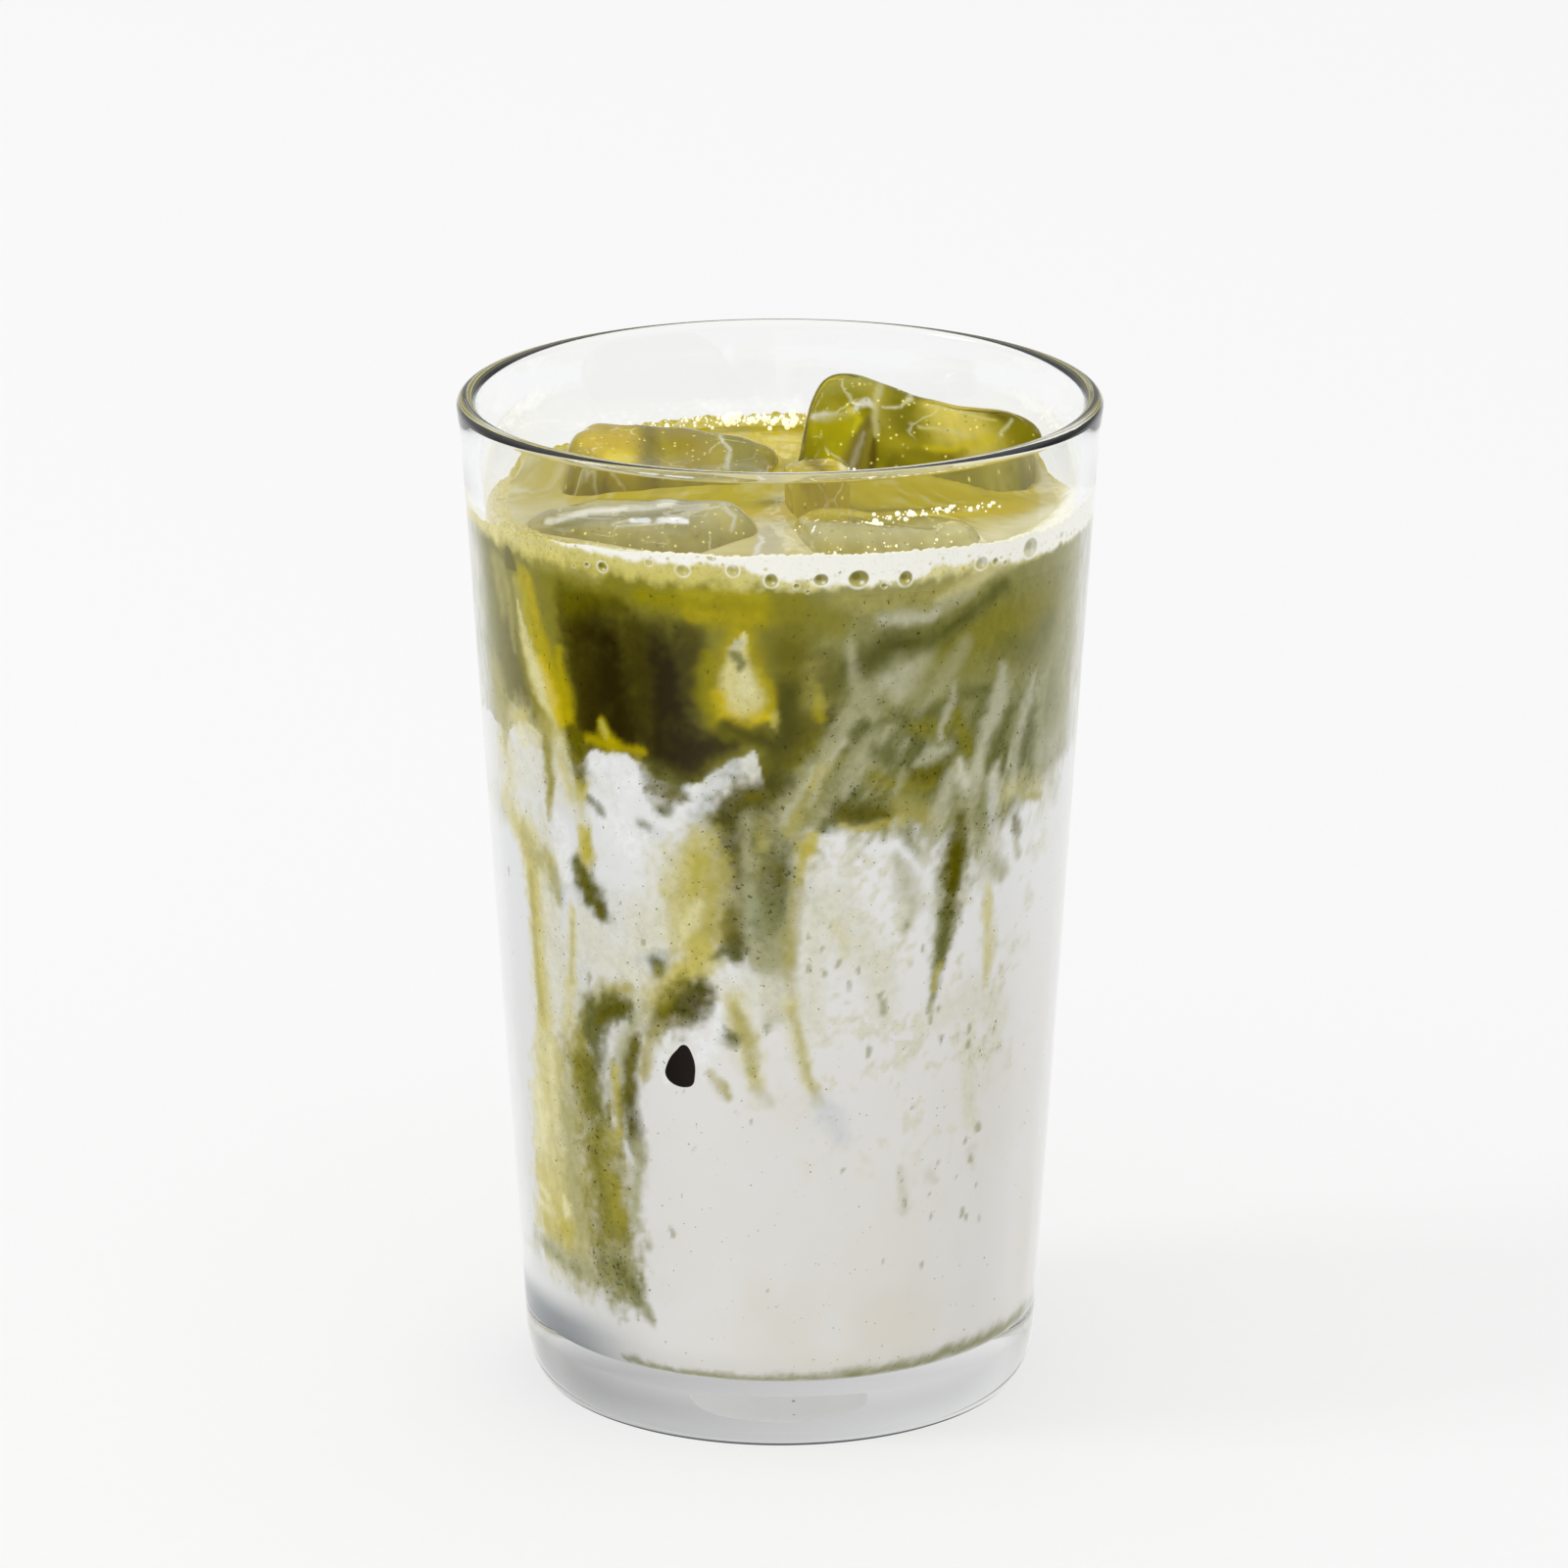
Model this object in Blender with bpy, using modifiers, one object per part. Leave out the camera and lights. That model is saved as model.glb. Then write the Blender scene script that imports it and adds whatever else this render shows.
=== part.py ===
"""Iced roasted-rice green tea latte in a plain tapered glass tumbler.

Milk lies in the lower part of the glass, green tea above it, a ring of froth along the wall at the top,
and four blocks and a chip of ice float in the tea. Lengths are metres, +Z is up, the glass stands at the origin,
and its front is towards -Y. Angles round the glass run from the front towards +X.
"""

import math
import random

import bpy
from mathutils import Euler, Matrix, Vector, noise

# The glass, from a wide tumbler of about 0.4 litre.
GLASS_HEIGHT = 0.1325
RIM_RADIUS = 0.0415
LIP_THICKNESS = 0.0024
LIP_BEAD = 0.0002
BEAD_HEIGHT = 0.0050
WALL_FOOT_RADIUS = 0.0333
FOOT_RADIUS = 0.0310
HEEL_HEIGHT = 0.0080
WALL_THICKNESS_TOP = 0.0022
WALL_THICKNESS_FOOT = 0.0030
FLOOR_HEIGHT = 0.0082
FLOOR_CORNER = 0.0055
PUNT_RADIUS = 0.0270
PUNT_DEPTH = 0.0007
GLASS_SIDES = 64

# The drink, which keeps a hair's gap to the glass, the ice and its own layers.
GAP = 0.0003
DRINK_SIDES = 64
LIQUID_LEVEL = 0.1187
LAYER_HEIGHT = 0.0870
LAYER_TILT = 0.0045
LAYER_TILT_ANGLE = math.radians(-70)
LAYER_WAVES = ((3, 0.0012, 0.6), (5, 0.0010, 2.1), (8, 0.0006, 4.0))
LAYER_RINGS = 6

# The froth: a ring against the wall that is thick at the wall and thins inwards.
FROTH_SIDES = 72
FROTH_TOP = 0.1197
FROTH_FOOT = 0.1152
FROTH_CLIMB = ((1, 0.0008), (2, 0.0009))
FROTH_WIDTH = 0.0048
FROTH_WIDTH_WAVES = ((2, 0.0008, 1.0), (5, 0.0007, 0.4), (9, 0.0005, 2.5))
FROTH_LUMP = 0.00045
FROTH_LUMP_SIZE = 0.0032

# Ice: name, size, centre, turns about X, Y and Z in degrees, narrowing of depth and height, cuts, seed.
ICE_BLOCKS = (
    ("ice_left", (0.0280, 0.0210, 0.0240), (-0.0148, 0.0114, 0.1117), (3, 5, -4), (0.0, 0.14), 7, 11),
    ("ice_right", (0.0304, 0.0160, 0.0258), (0.0180, 0.0100, 0.1160), (-31, 7, -15), (0.42, 0.04), 7, 29),
    ("ice_front", (0.0265, 0.0175, 0.0255), (-0.0169, -0.0166, 0.1087), (2, -3, -33), (0.12, 0.0), 7, 37),
    ("ice_near", (0.0220, 0.0180, 0.0250), (0.0130, -0.0192, 0.1086), (-3, 3, 14), (0.0, 0.0), 7, 53),
    ("ice_chip", (0.0070, 0.0060, 0.0090), (0.0048, -0.0058, 0.1198), (8, -6, 20), (0.0, 0.0), 4, 71),
)
ICE_GAP = 0.0004
ICE_SQUARENESS = 7.0
ICE_MELT = 0.0009
ICE_MELT_LENGTH = 0.0210
ICE_MELT_WAVES = 7
ICE_HOLLOW = 0.0006


def clear_scene():
    for old in list(bpy.data.objects):
        bpy.data.objects.remove(old)


def new_collection(name):
    made = bpy.data.collections.new(name)
    bpy.context.scene.collection.children.link(made)
    return made


def new_material(name, colour, roughness, transmission=0.0, ior=1.45):
    """A Principled material with one colour."""
    material = bpy.data.materials.new(name)
    material.use_nodes = True
    shader = material.node_tree.nodes["Principled BSDF"]
    shader.inputs["Base Color"].default_value = (*colour, 1.0)
    shader.inputs["Roughness"].default_value = roughness
    shader.inputs["Metallic"].default_value = 0.0
    shader.inputs["Transmission Weight"].default_value = transmission
    shader.inputs["IOR"].default_value = ior
    material.diffuse_color = (*colour, 1.0)
    return material


def arc(centre, radii, start, end, steps):
    """Points (radius, height) on an elliptic arc between two angles in degrees, 0 pointing outwards."""
    points = []
    for step in range(steps + 1):
        angle = math.radians(start + (end - start) * step / steps)
        points.append((centre[0] + radii[0] * math.cos(angle), centre[1] + radii[1] * math.sin(angle)))
    return points


def outer_radius(height):
    """The straight outer wall, under the bead of the lip."""
    top_radius = RIM_RADIUS - LIP_BEAD
    return WALL_FOOT_RADIUS + (top_radius - WALL_FOOT_RADIUS) * height / GLASS_HEIGHT


def inner_radius(height):
    share = height / GLASS_HEIGHT
    thickness = WALL_THICKNESS_FOOT + (WALL_THICKNESS_TOP - WALL_THICKNESS_FOOT) * share
    return outer_radius(height) - thickness


def turned(name, profile, sides, collection):
    """A closed solid turned about Z from (radius, height) points that end on the axis or close on themselves."""
    mesh = bpy.data.meshes.new(name)
    closed = profile[0][0] > 0
    count = len(profile)
    edges = [(i, i + 1) for i in range(count - 1)]
    if closed:
        edges.append((count - 1, 0))
    mesh.from_pydata([(radius, 0.0, height) for radius, height in profile], edges, [])
    spun = bpy.data.objects.new(name, mesh)
    collection.objects.link(spun)
    screw = spun.modifiers.new("Screw", "SCREW")
    screw.steps = sides
    screw.render_steps = sides
    screw.use_merge_vertices = True
    screw.merge_threshold = 0.00001
    return spun


def frozen(source, collection):
    """The object's evaluated mesh as a plain mesh object of the same name, so that its points can be moved."""
    bpy.context.view_layer.update()
    graph = bpy.context.evaluated_depsgraph_get()
    mesh = bpy.data.meshes.new_from_object(source.evaluated_get(graph))
    name = source.name
    bpy.data.objects.remove(source)
    made = bpy.data.objects.new(name, mesh)
    collection.objects.link(made)
    return made


def shade(target, material, sharp_degrees=40):
    target.data.materials.clear()
    target.data.materials.append(material)
    target.data.shade_smooth()
    target.data.set_sharp_from_angle(angle=math.radians(sharp_degrees))


def build_glass(collection, material):
    """Thick-based tumbler: floor, inner wall, rounded lip, outer wall, rounded heel, standing ring, punt."""
    lip_radius = LIP_THICKNESS / 2
    lip_centre = (RIM_RADIUS - lip_radius, GLASS_HEIGHT - lip_radius)
    corner_top = FLOOR_HEIGHT + FLOOR_CORNER
    corner_centre = (inner_radius(corner_top) - FLOOR_CORNER, corner_top)
    heel_centre = (FOOT_RADIUS, HEEL_HEIGHT)
    heel_radii = (outer_radius(HEEL_HEIGHT) - FOOT_RADIUS, HEEL_HEIGHT)
    bead_foot = GLASS_HEIGHT - BEAD_HEIGHT
    profile = [(0.0, FLOOR_HEIGHT), (corner_centre[0] / 2, FLOOR_HEIGHT)]
    profile += arc(corner_centre, (FLOOR_CORNER, FLOOR_CORNER), -90, 0, 5)
    profile += [(inner_radius(bead_foot), bead_foot)]
    profile += arc(lip_centre, (lip_radius, lip_radius), 180, 0, 7)
    profile += [(outer_radius(bead_foot), bead_foot), (outer_radius(0.5 * bead_foot), 0.5 * bead_foot)]
    profile += arc(heel_centre, heel_radii, 0, -90, 6)
    for share in (1.0, 0.94, 0.88, 0.8, 0.0):
        profile.append((PUNT_RADIUS * share, PUNT_DEPTH * min(1.0, 5 * (1 - share)) ** 0.8))
    glass = turned("glass", profile, GLASS_SIDES, collection)
    glass = frozen(glass, collection)
    shade(glass, material, 35)
    return glass


def layer_height(x, y):
    """Height of the wavy face between milk and tea. The waves fade out towards the axis."""
    radius = math.hypot(x, y)
    angle = math.atan2(x, -y)
    share = radius / inner_radius(LAYER_HEIGHT)
    height = LAYER_HEIGHT + LAYER_TILT * share * math.cos(angle - LAYER_TILT_ANGLE)
    for count, depth, shift in LAYER_WAVES:
        height += depth * share * math.cos(count * angle + shift)
    return height


def layer_ring_points(height):
    """Points from the axis to the wall at one height, for the rings of the wavy face."""
    rim = inner_radius(height) - GAP
    return [(rim * i / LAYER_RINGS, height) for i in range(LAYER_RINGS + 1)]


def lift_layer(target, flat_height, extra):
    """Moves the flat face at flat_height onto the wavy layer face, and its rim along the slanting wall."""
    for point in target.data.vertices:
        if abs(point.co.z - flat_height) > 1e-6:
            continue
        height = layer_height(point.co.x, point.co.y) + extra
        old_rim = inner_radius(flat_height) - GAP
        grow = (inner_radius(height) - GAP) / old_rim
        point.co = Vector((point.co.x * grow, point.co.y * grow, height))


def build_milk(collection, material):
    corner_top = FLOOR_HEIGHT + FLOOR_CORNER
    corner_centre = (inner_radius(corner_top) - FLOOR_CORNER, corner_top)
    corner_radius = FLOOR_CORNER - GAP
    profile = list(layer_ring_points(LAYER_HEIGHT))
    profile += [(inner_radius(0.06) - GAP, 0.06), (inner_radius(0.035) - GAP, 0.035)]
    profile += arc(corner_centre, (corner_radius, corner_radius), 0, -90, 5)
    profile += [(0.0, FLOOR_HEIGHT + GAP)]
    milk = turned("milk", profile, DRINK_SIDES, collection)
    milk = frozen(milk, collection)
    lift_layer(milk, LAYER_HEIGHT, 0.0)
    shade(milk, material)
    return milk


def tea_shoulder(height_over_foot=0.0):
    """Where the tea's flat top turns down under the froth, and where it meets the wall."""
    inner = (inner_radius(LIQUID_LEVEL) - FROTH_WIDTH - 0.0025, LIQUID_LEVEL + height_over_foot)
    outer = (inner_radius(FROTH_FOOT) - GAP, FROTH_FOOT + height_over_foot)
    return inner, outer


def build_tea(collection, material, ice_cutters):
    """The tea sits on the milk, dips under the froth at the wall and is cut round the ice."""
    shoulder, foot = tea_shoulder()
    flat_height = LAYER_HEIGHT
    profile = [(0.0, LIQUID_LEVEL), (shoulder[0] / 2, LIQUID_LEVEL), shoulder, foot]
    profile += [(inner_radius(0.104) - GAP, 0.104)]
    profile += list(reversed(layer_ring_points(flat_height)))
    tea = turned("tea", profile, DRINK_SIDES, collection)
    tea = frozen(tea, collection)
    lift_layer(tea, flat_height, GAP)
    climb_wall(tea, foot[1], foot[1])
    cut_by(tea, ice_cutters)
    shade(tea, material)
    return tea


def climb_wall(target, low, high):
    """Slides the points at the wall between two heights up or down it, as the froth climbs most at the front."""
    for point in target.data.vertices:
        radius = math.hypot(point.co.x, point.co.y)
        at_wall = abs(radius - (inner_radius(point.co.z) - GAP)) < 2e-5
        if not at_wall or point.co.z < low - 1e-6 or point.co.z > high + 1e-6:
            continue
        angle = math.atan2(point.co.x, -point.co.y)
        height = point.co.z + sum(climb * math.cos(count * angle) for count, climb in FROTH_CLIMB)
        grow = (inner_radius(height) - GAP) / radius
        point.co = Vector((point.co.x * grow, point.co.y * grow, height))


def froth_width(angle):
    width = FROTH_WIDTH
    for count, depth, shift in FROTH_WIDTH_WAVES:
        width += depth * math.cos(count * angle + shift)
    return width


def build_froth(collection, material, ice_cutters):
    """A ring over the tea's shoulder. Its points are pushed in or out to the froth's width, then made lumpy."""
    shoulder, foot = tea_shoulder(GAP)
    wall_foot = (foot[0], foot[1])
    wall_top = (inner_radius(FROTH_TOP) - GAP, FROTH_TOP)
    tip = (shoulder[0] + 0.0004, LIQUID_LEVEL + GAP)
    reach = wall_top[0] - tip[0]
    crown = FROTH_TOP - LIQUID_LEVEL - GAP
    top = []
    for step in range(1, 7):
        share = step / 7
        swell = math.sin(share * math.pi / 2) ** 0.7
        top.append((tip[0] + reach * share, LIQUID_LEVEL + GAP + crown * 0.8 * swell))
    profile = [tip, *top, wall_top, wall_foot]
    froth = turned("froth", profile, FROTH_SIDES, collection)
    froth = frozen(froth, collection)
    for point in froth.data.vertices:
        radius = math.hypot(point.co.x, point.co.y)
        angle = math.atan2(point.co.x, -point.co.y)
        on_wall = radius > foot[0] - 1e-6
        on_top = point.co.z > LIQUID_LEVEL + GAP + 1e-6 and not on_wall
        if on_top:
            inward = (wall_top[0] - radius) / reach
            moved = wall_top[0] - reach * inward * froth_width(angle) / (FROTH_WIDTH + 0.0020)
            point.co.x *= moved / radius
            point.co.y *= moved / radius
            lump = noise.noise(point.co / FROTH_LUMP_SIZE)
            point.co.z = max(point.co.z + FROTH_LUMP * lump, LIQUID_LEVEL + 2 * GAP)
    climb_wall(froth, FROTH_FOOT, FROTH_TOP)
    cut_by(froth, ice_cutters)
    shade(froth, material, 60)
    return froth


def melt_waves(seed):
    """The waves of one block's melted dents, as (wave vector, phase). Their lengths spread about the melt length."""
    draw = random.Random(seed)
    waves = []
    for _ in range(ICE_MELT_WAVES):
        slant = draw.uniform(-1.0, 1.0)
        turn = draw.uniform(0.0, 2 * math.pi)
        flat = math.sqrt(1 - slant * slant)
        along = Vector((flat * math.cos(turn), flat * math.sin(turn), slant))
        length = ICE_MELT_LENGTH * draw.uniform(0.6, 1.4)
        waves.append((along * (2 * math.pi / length), draw.uniform(0.0, 2 * math.pi)))
    return waves


def melted_block(name, size, narrowing, cuts, seed, collection):
    """A cube whose corners melt round: each point goes to a superellipsoid, then rises and sinks by waves."""
    bpy.ops.mesh.primitive_cube_add(size=2.0)
    block = bpy.context.object
    block.name = name
    for owner in list(block.users_collection):
        owner.objects.unlink(block)
    collection.objects.link(block)
    bpy.context.view_layer.objects.active = block
    bpy.ops.object.mode_set(mode="EDIT")
    bpy.ops.mesh.select_all(action="SELECT")
    bpy.ops.mesh.subdivide(number_cuts=cuts)
    bpy.ops.object.mode_set(mode="OBJECT")
    half = Vector(size) / 2
    waves = melt_waves(seed)
    for point in block.data.vertices:
        along = Vector(math.sin(value * math.pi / 2) * 0.45 + value * 0.55 for value in point.co)
        length = sum(abs(value) ** ICE_SQUARENESS for value in along) ** (1 / ICE_SQUARENESS)
        unit = along / length
        place = Vector(unit[i] * half[i] for i in range(3))
        share = (unit.x + 1) / 2
        place.y *= 1 - narrowing[0] * share
        place.z *= 1 - narrowing[1] * share
        hollow = 1.0 - min(1.0, 1.25 * sorted(abs(value) for value in unit)[1])
        swell = sum(math.sin(wave.dot(place) + phase) for wave, phase in waves)
        melt = ICE_MELT * swell / math.sqrt(len(waves))
        point.co = place + place.normalized() * (melt - ICE_HOLLOW * hollow)
    return block


def build_ice(collection, cutters, material):
    """The blocks of ice, and for each a cutter that is larger by the gap all round."""
    blocks = []
    for name, size, centre, turns, narrowing, cuts, seed in ICE_BLOCKS:
        block = melted_block(name, size, narrowing, cuts, seed, collection)
        place = Matrix.Translation(centre) @ Euler([math.radians(turn) for turn in turns]).to_matrix().to_4x4()
        block.data.transform(place)
        shade(block, material, 60)
        cutter = bpy.data.objects.new(name + "_pocket", block.data.copy())
        cutters.objects.link(cutter)
        grow = cutter.modifiers.new("Gap", "DISPLACE")
        grow.mid_level = 0.0
        grow.strength = ICE_GAP
        cutter.hide_render = True
        cutter.display_type = "WIRE"
        blocks.append(block)
    return blocks


def cut_by(target, cutters):
    """Cuts the target round every object of the cutters' collection."""
    for cutter in cutters.objects:
        cut = target.modifiers.new(cutter.name, "BOOLEAN")
        cut.operation = "DIFFERENCE"
        cut.solver = "EXACT"
        cut.object = cutter


def main():
    clear_scene()
    latte = new_collection("iced_tea_latte")
    pockets = new_collection("ice_pockets")
    clear_glass = new_material("clear_glass", (0.95, 0.97, 0.97), 0.02, 1.0, 1.5)
    milk_white = new_material("milk", (0.80, 0.78, 0.74), 0.35)
    tea_green = new_material("green_tea", (0.20, 0.18, 0.015), 0.15)
    froth_green = new_material("froth", (0.62, 0.58, 0.28), 0.5)
    clear_ice = new_material("ice", (0.60, 0.58, 0.26), 0.05, 0.8, 1.31)
    build_glass(latte, clear_glass)
    build_ice(latte, pockets, clear_ice)
    build_milk(latte, milk_white)
    build_tea(latte, tea_green, pockets)
    build_froth(latte, froth_green, pockets)


main()
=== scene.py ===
import math
import random

import bpy
import numpy as np
from mathutils import Euler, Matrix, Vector


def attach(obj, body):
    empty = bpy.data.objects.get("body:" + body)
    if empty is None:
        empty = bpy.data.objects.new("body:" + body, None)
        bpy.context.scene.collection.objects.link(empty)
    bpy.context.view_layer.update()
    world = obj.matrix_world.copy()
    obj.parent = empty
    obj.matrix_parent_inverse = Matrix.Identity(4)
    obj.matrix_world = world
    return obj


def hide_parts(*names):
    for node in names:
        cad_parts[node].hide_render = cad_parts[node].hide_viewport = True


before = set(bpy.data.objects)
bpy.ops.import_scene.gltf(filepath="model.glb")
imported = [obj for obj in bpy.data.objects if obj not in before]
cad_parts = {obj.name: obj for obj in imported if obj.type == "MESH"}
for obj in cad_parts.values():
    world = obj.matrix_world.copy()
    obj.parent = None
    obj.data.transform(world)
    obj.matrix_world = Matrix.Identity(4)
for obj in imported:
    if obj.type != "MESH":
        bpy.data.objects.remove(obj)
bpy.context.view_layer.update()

# An iced green tea latte in a straight tumbler. Sizes are millimetres until a mesh is made. Angles round
# the glass are degrees from its front, which faces -Y, towards +X.
mm = 0.001
scene = bpy.context.scene
scene.view_settings.view_transform = "Standard"


def linear(code):
    # sRGB hex to linear: c / 12.92 below 0.04045, else ((c + 0.055) / 1.055) ** 2.4
    share = np.array([int(code[i:i + 2], 16) / 255 for i in (1, 3, 5)])
    return np.where(share <= 0.04045, share / 12.92, ((share + 0.055) / 1.055) ** 2.4)


def opaque(code):
    # The same colour with full alpha, as a colour socket takes it
    return (*linear(code), 1.0)


def smooth(low, high, value):
    # 0 below low, 1 above high, 3t² - 2t³ between them
    t = np.clip((value - low) / (high - low), 0.0, 1.0)
    return t * t * (3 - 2 * t)


def lay(colour, tint, share):
    # That share of the way from each colour to the tint: c + (t - c) * share
    return colour + (tint - colour) * share[:, None]


def cloud(u, v, size, seed, loop=None):
    # A soft random field from 0 to 1: random values on a lattice of that size, blended by 3t² - 2t³.
    # With a loop length the field repeats along u, so that it closes round the glass.
    across = 4096 if loop is None else max(3, round(loop / size))
    x = u / size if loop is None else u / loop * across
    y = v / size
    values = np.random.default_rng(seed).random((64 if loop is None else across, 64))
    column, row = np.floor(x).astype(int), np.floor(y).astype(int)
    fx, fy = x - column, y - row
    fx, fy = fx * fx * (3 - 2 * fx), fy * fy * (3 - 2 * fy)
    wide = values.shape[0]
    a, b = column % wide, (column + 1) % wide
    c, d = row % 64, (row + 1) % 64
    low = values[a, c] * (1 - fx) + values[b, c] * fx
    high = values[a, d] * (1 - fx) + values[b, d] * fx
    return low * (1 - fy) + high * fy


def billow(u, v, size, seed, loop=None, octaves=4, fade=0.5):
    # Sum of clouds, each half the size and fade times the strength of the one before, from -1 to 1
    total, weight, fullWeight = 0.0, 1.0, 0.0
    for octave in range(octaves):
        total = total + weight * (cloud(u, v, size / 2 ** octave, seed + octave, loop) * 2 - 1)
        fullWeight += weight
        weight *= fade
    return total / fullWeight


def cells(u, v, size, seed, loop=None):
    # Distance to the nearest and the next of the points jittered in square cells, and the nearest's number
    across = 512 if loop is None else max(3, round(loop / size))
    step = size if loop is None else loop / across
    x, y = u / step, v / size
    jitter = np.random.default_rng(seed).random((across, 256, 3))
    column, row = np.floor(x).astype(int), np.floor(y).astype(int)
    first, second, number = np.full(x.shape, 9.0), np.full(x.shape, 9.0), np.zeros(x.shape)
    for i in (-1, 0, 1):
        for j in (-1, 0, 1):
            point = jitter[(column + i) % across, (row + j) % 256]
            away = np.hypot(column + i + point[..., 0] - x, row + j + point[..., 1] - y)
            nearer = away < first
            second = np.where(nearer, first, np.minimum(second, away))
            number = np.where(nearer, point[..., 2], number)
            first = np.where(nearer, away, first)
    return first, second, number


def gridFaces(rows, columns, wrap=True, start=0):
    # Quads between neighbouring rows and columns of a grid, the last column joined to the first
    i = np.arange(rows - 1)[:, None]
    j = np.arange(columns if wrap else columns - 1)[None, :]
    k = (j + 1) % columns
    quads = np.stack([i * columns + j, i * columns + k, (i + 1) * columns + k, (i + 1) * columns + j], -1)
    return quads.reshape(-1, 4) + start


def poleFaces(pole, ring, flip=False):
    # A fan of triangles from one point to a closed ring of points
    after = np.roll(ring, -1)
    first, last = (after, ring) if flip else (ring, after)
    return np.stack([np.full(len(ring), pole), first, last], -1)


def capFaces(rows, columns):
    # Fans that close a grid: its first row to the point after the grid, its last row to the next point
    ring = np.arange(columns)
    return np.concatenate([poleFaces(rows * columns, ring, True),
                           poleFaces(rows * columns + 1, ring + (rows - 1) * columns)])


def makePiece(name, points, faceSets, materials, replaces=(), attributes=None, sharp=None):
    # points in mm; faceSets is a list of (faces, material number). A body that is inside out is turned.
    # Edges that turn by more than sharp degrees stay crisp.
    points = np.asarray(points, float).reshape(-1, 3) * mm
    volume = 0.0
    for faces, _ in faceSets:
        corners = points[faces]
        for k in range(1, faces.shape[1] - 1):
            volume += np.einsum("ij,ij->", corners[:, 0], np.cross(corners[:, k], corners[:, k + 1]))
    if volume < 0:
        faceSets = [(faces[:, ::-1], number) for faces, number in faceSets]
    mesh = bpy.data.meshes.new(name)
    loops = np.concatenate([faces.ravel() for faces, _ in faceSets])
    sizes = np.concatenate([np.full(len(faces), faces.shape[1]) for faces, _ in faceSets])
    numbers = np.concatenate([np.full(len(faces), number) for faces, number in faceSets])
    mesh.vertices.add(len(points))
    mesh.vertices.foreach_set("co", points.astype(np.float32).ravel())
    mesh.loops.add(len(loops))
    mesh.loops.foreach_set("vertex_index", loops.astype(np.int32))
    mesh.polygons.add(len(sizes))
    mesh.polygons.foreach_set("loop_start", np.concatenate([[0], np.cumsum(sizes)[:-1]]).astype(np.int32))
    mesh.polygons.foreach_set("material_index", numbers.astype(np.int32))
    mesh.polygons.foreach_set("use_smooth", np.full(len(sizes), True))
    mesh.update(calc_edges=True)
    mesh.validate()
    if sharp:
        mesh.set_sharp_from_angle(angle=math.radians(sharp))
    for key, values in (attributes or {}).items():
        if values.ndim == 2:
            colours = np.concatenate([values, np.ones((len(values), 1))], 1)
            mesh.attributes.new(key, "FLOAT_COLOR", "POINT").data.foreach_set("color", colours.ravel())
        else:
            mesh.attributes.new(key, "FLOAT", "POINT").data.foreach_set("value", values.astype(np.float32))
    for material in materials:
        mesh.materials.append(material)
    piece = bpy.data.objects.new(name, mesh)
    scene.collection.objects.link(piece)
    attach(piece, "root")
    if replaces:
        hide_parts(*replaces)
    print(f"{name}: {len(points)} points, {int((sizes - 2).sum())} triangles")
    return piece


def addNode(tree, kind, sockets=(), **settings):
    # One node with its settings. Sockets go by name or in order, and each is given a value, another node's
    # output, or a whole node, which stands for its first output in use.
    node = tree.nodes.new("ShaderNode" + kind)
    for key, value in settings.items():
        setattr(node, key, value)
    for key, value in sockets.items() if isinstance(sockets, dict) else enumerate(sockets):
        if isinstance(value, bpy.types.Node):
            value = next(output for output in value.outputs if output.enabled)
        if isinstance(value, bpy.types.NodeSocket):
            tree.links.new(value, node.inputs[key])
        else:
            node.inputs[key].default_value = value
    return node


def newMaterial(name):
    # An empty material, its tree, and the coordinates of the object, for textures in metres
    material = bpy.data.materials.new(name)
    material.use_nodes = True
    tree = material.node_tree
    tree.nodes.clear()
    return material, tree, addNode(tree, "TexCoord").outputs["Object"]


def around(angle, radius, height):
    # Points at an angle round the glass: x = r sin a, y = -r cos a
    turn = np.radians(angle)
    return np.stack(np.broadcast_arrays(radius * np.sin(turn), -radius * np.cos(turn), height), -1)


# Soda-lime tumbler, pressed: a straight wall, a thick clear base and a fire-rounded lip
glass = dict(
    height=132.5, rimRadius=41.5, lipThickness=2.4, beadHeight=5.0, lipBead=0.2, wallFootRadius=33.3,
    footRadius=31.0, heelHeight=8.0, wallTop=2.2, wallFoot=3.0, floorHeight=8.2, floorCorner=5.5,
    puntRadius=27.0, puntDepth=0.7, ringWidth=0.5, ringHeight=0.8, heelRows=32, sides=320,
    puntShares=(1, 0.985, 0.97, 0.955, 0.94, 0.92, 0.9, 0.88, 0.84, 0.8, 0.7, 0.6, 0.5, 0.4, 0.3, 0.2, 0.1),
    # ring: dark grey painted on the foot ring as the shade where glass meets table; ringScratches: its wear
    tint="#FDFEFE", ring="#2C3034", ringScratches="#4A4E52",
)


def outerRadius(z):
    # Straight cone of the outside wall, from the foot to just under the lip's bead
    g = glass
    return g["wallFootRadius"] + (g["rimRadius"] - g["lipBead"] - g["wallFootRadius"]) * z / g["height"]


def innerRadius(z):
    # The outside less a wall that thins from the foot to the top
    g = glass
    return outerRadius(z) - (g["wallFoot"] + (g["wallTop"] - g["wallFoot"]) * z / g["height"])


def arc(centre, radii, start, end, steps):
    # Points on an ellipse: centre + radii * (cos t, sin t)
    t = np.radians(np.linspace(start, end, steps))
    return np.stack([centre[0] + radii[0] * np.cos(t), centre[1] + radii[1] * np.sin(t)], 1)


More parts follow.
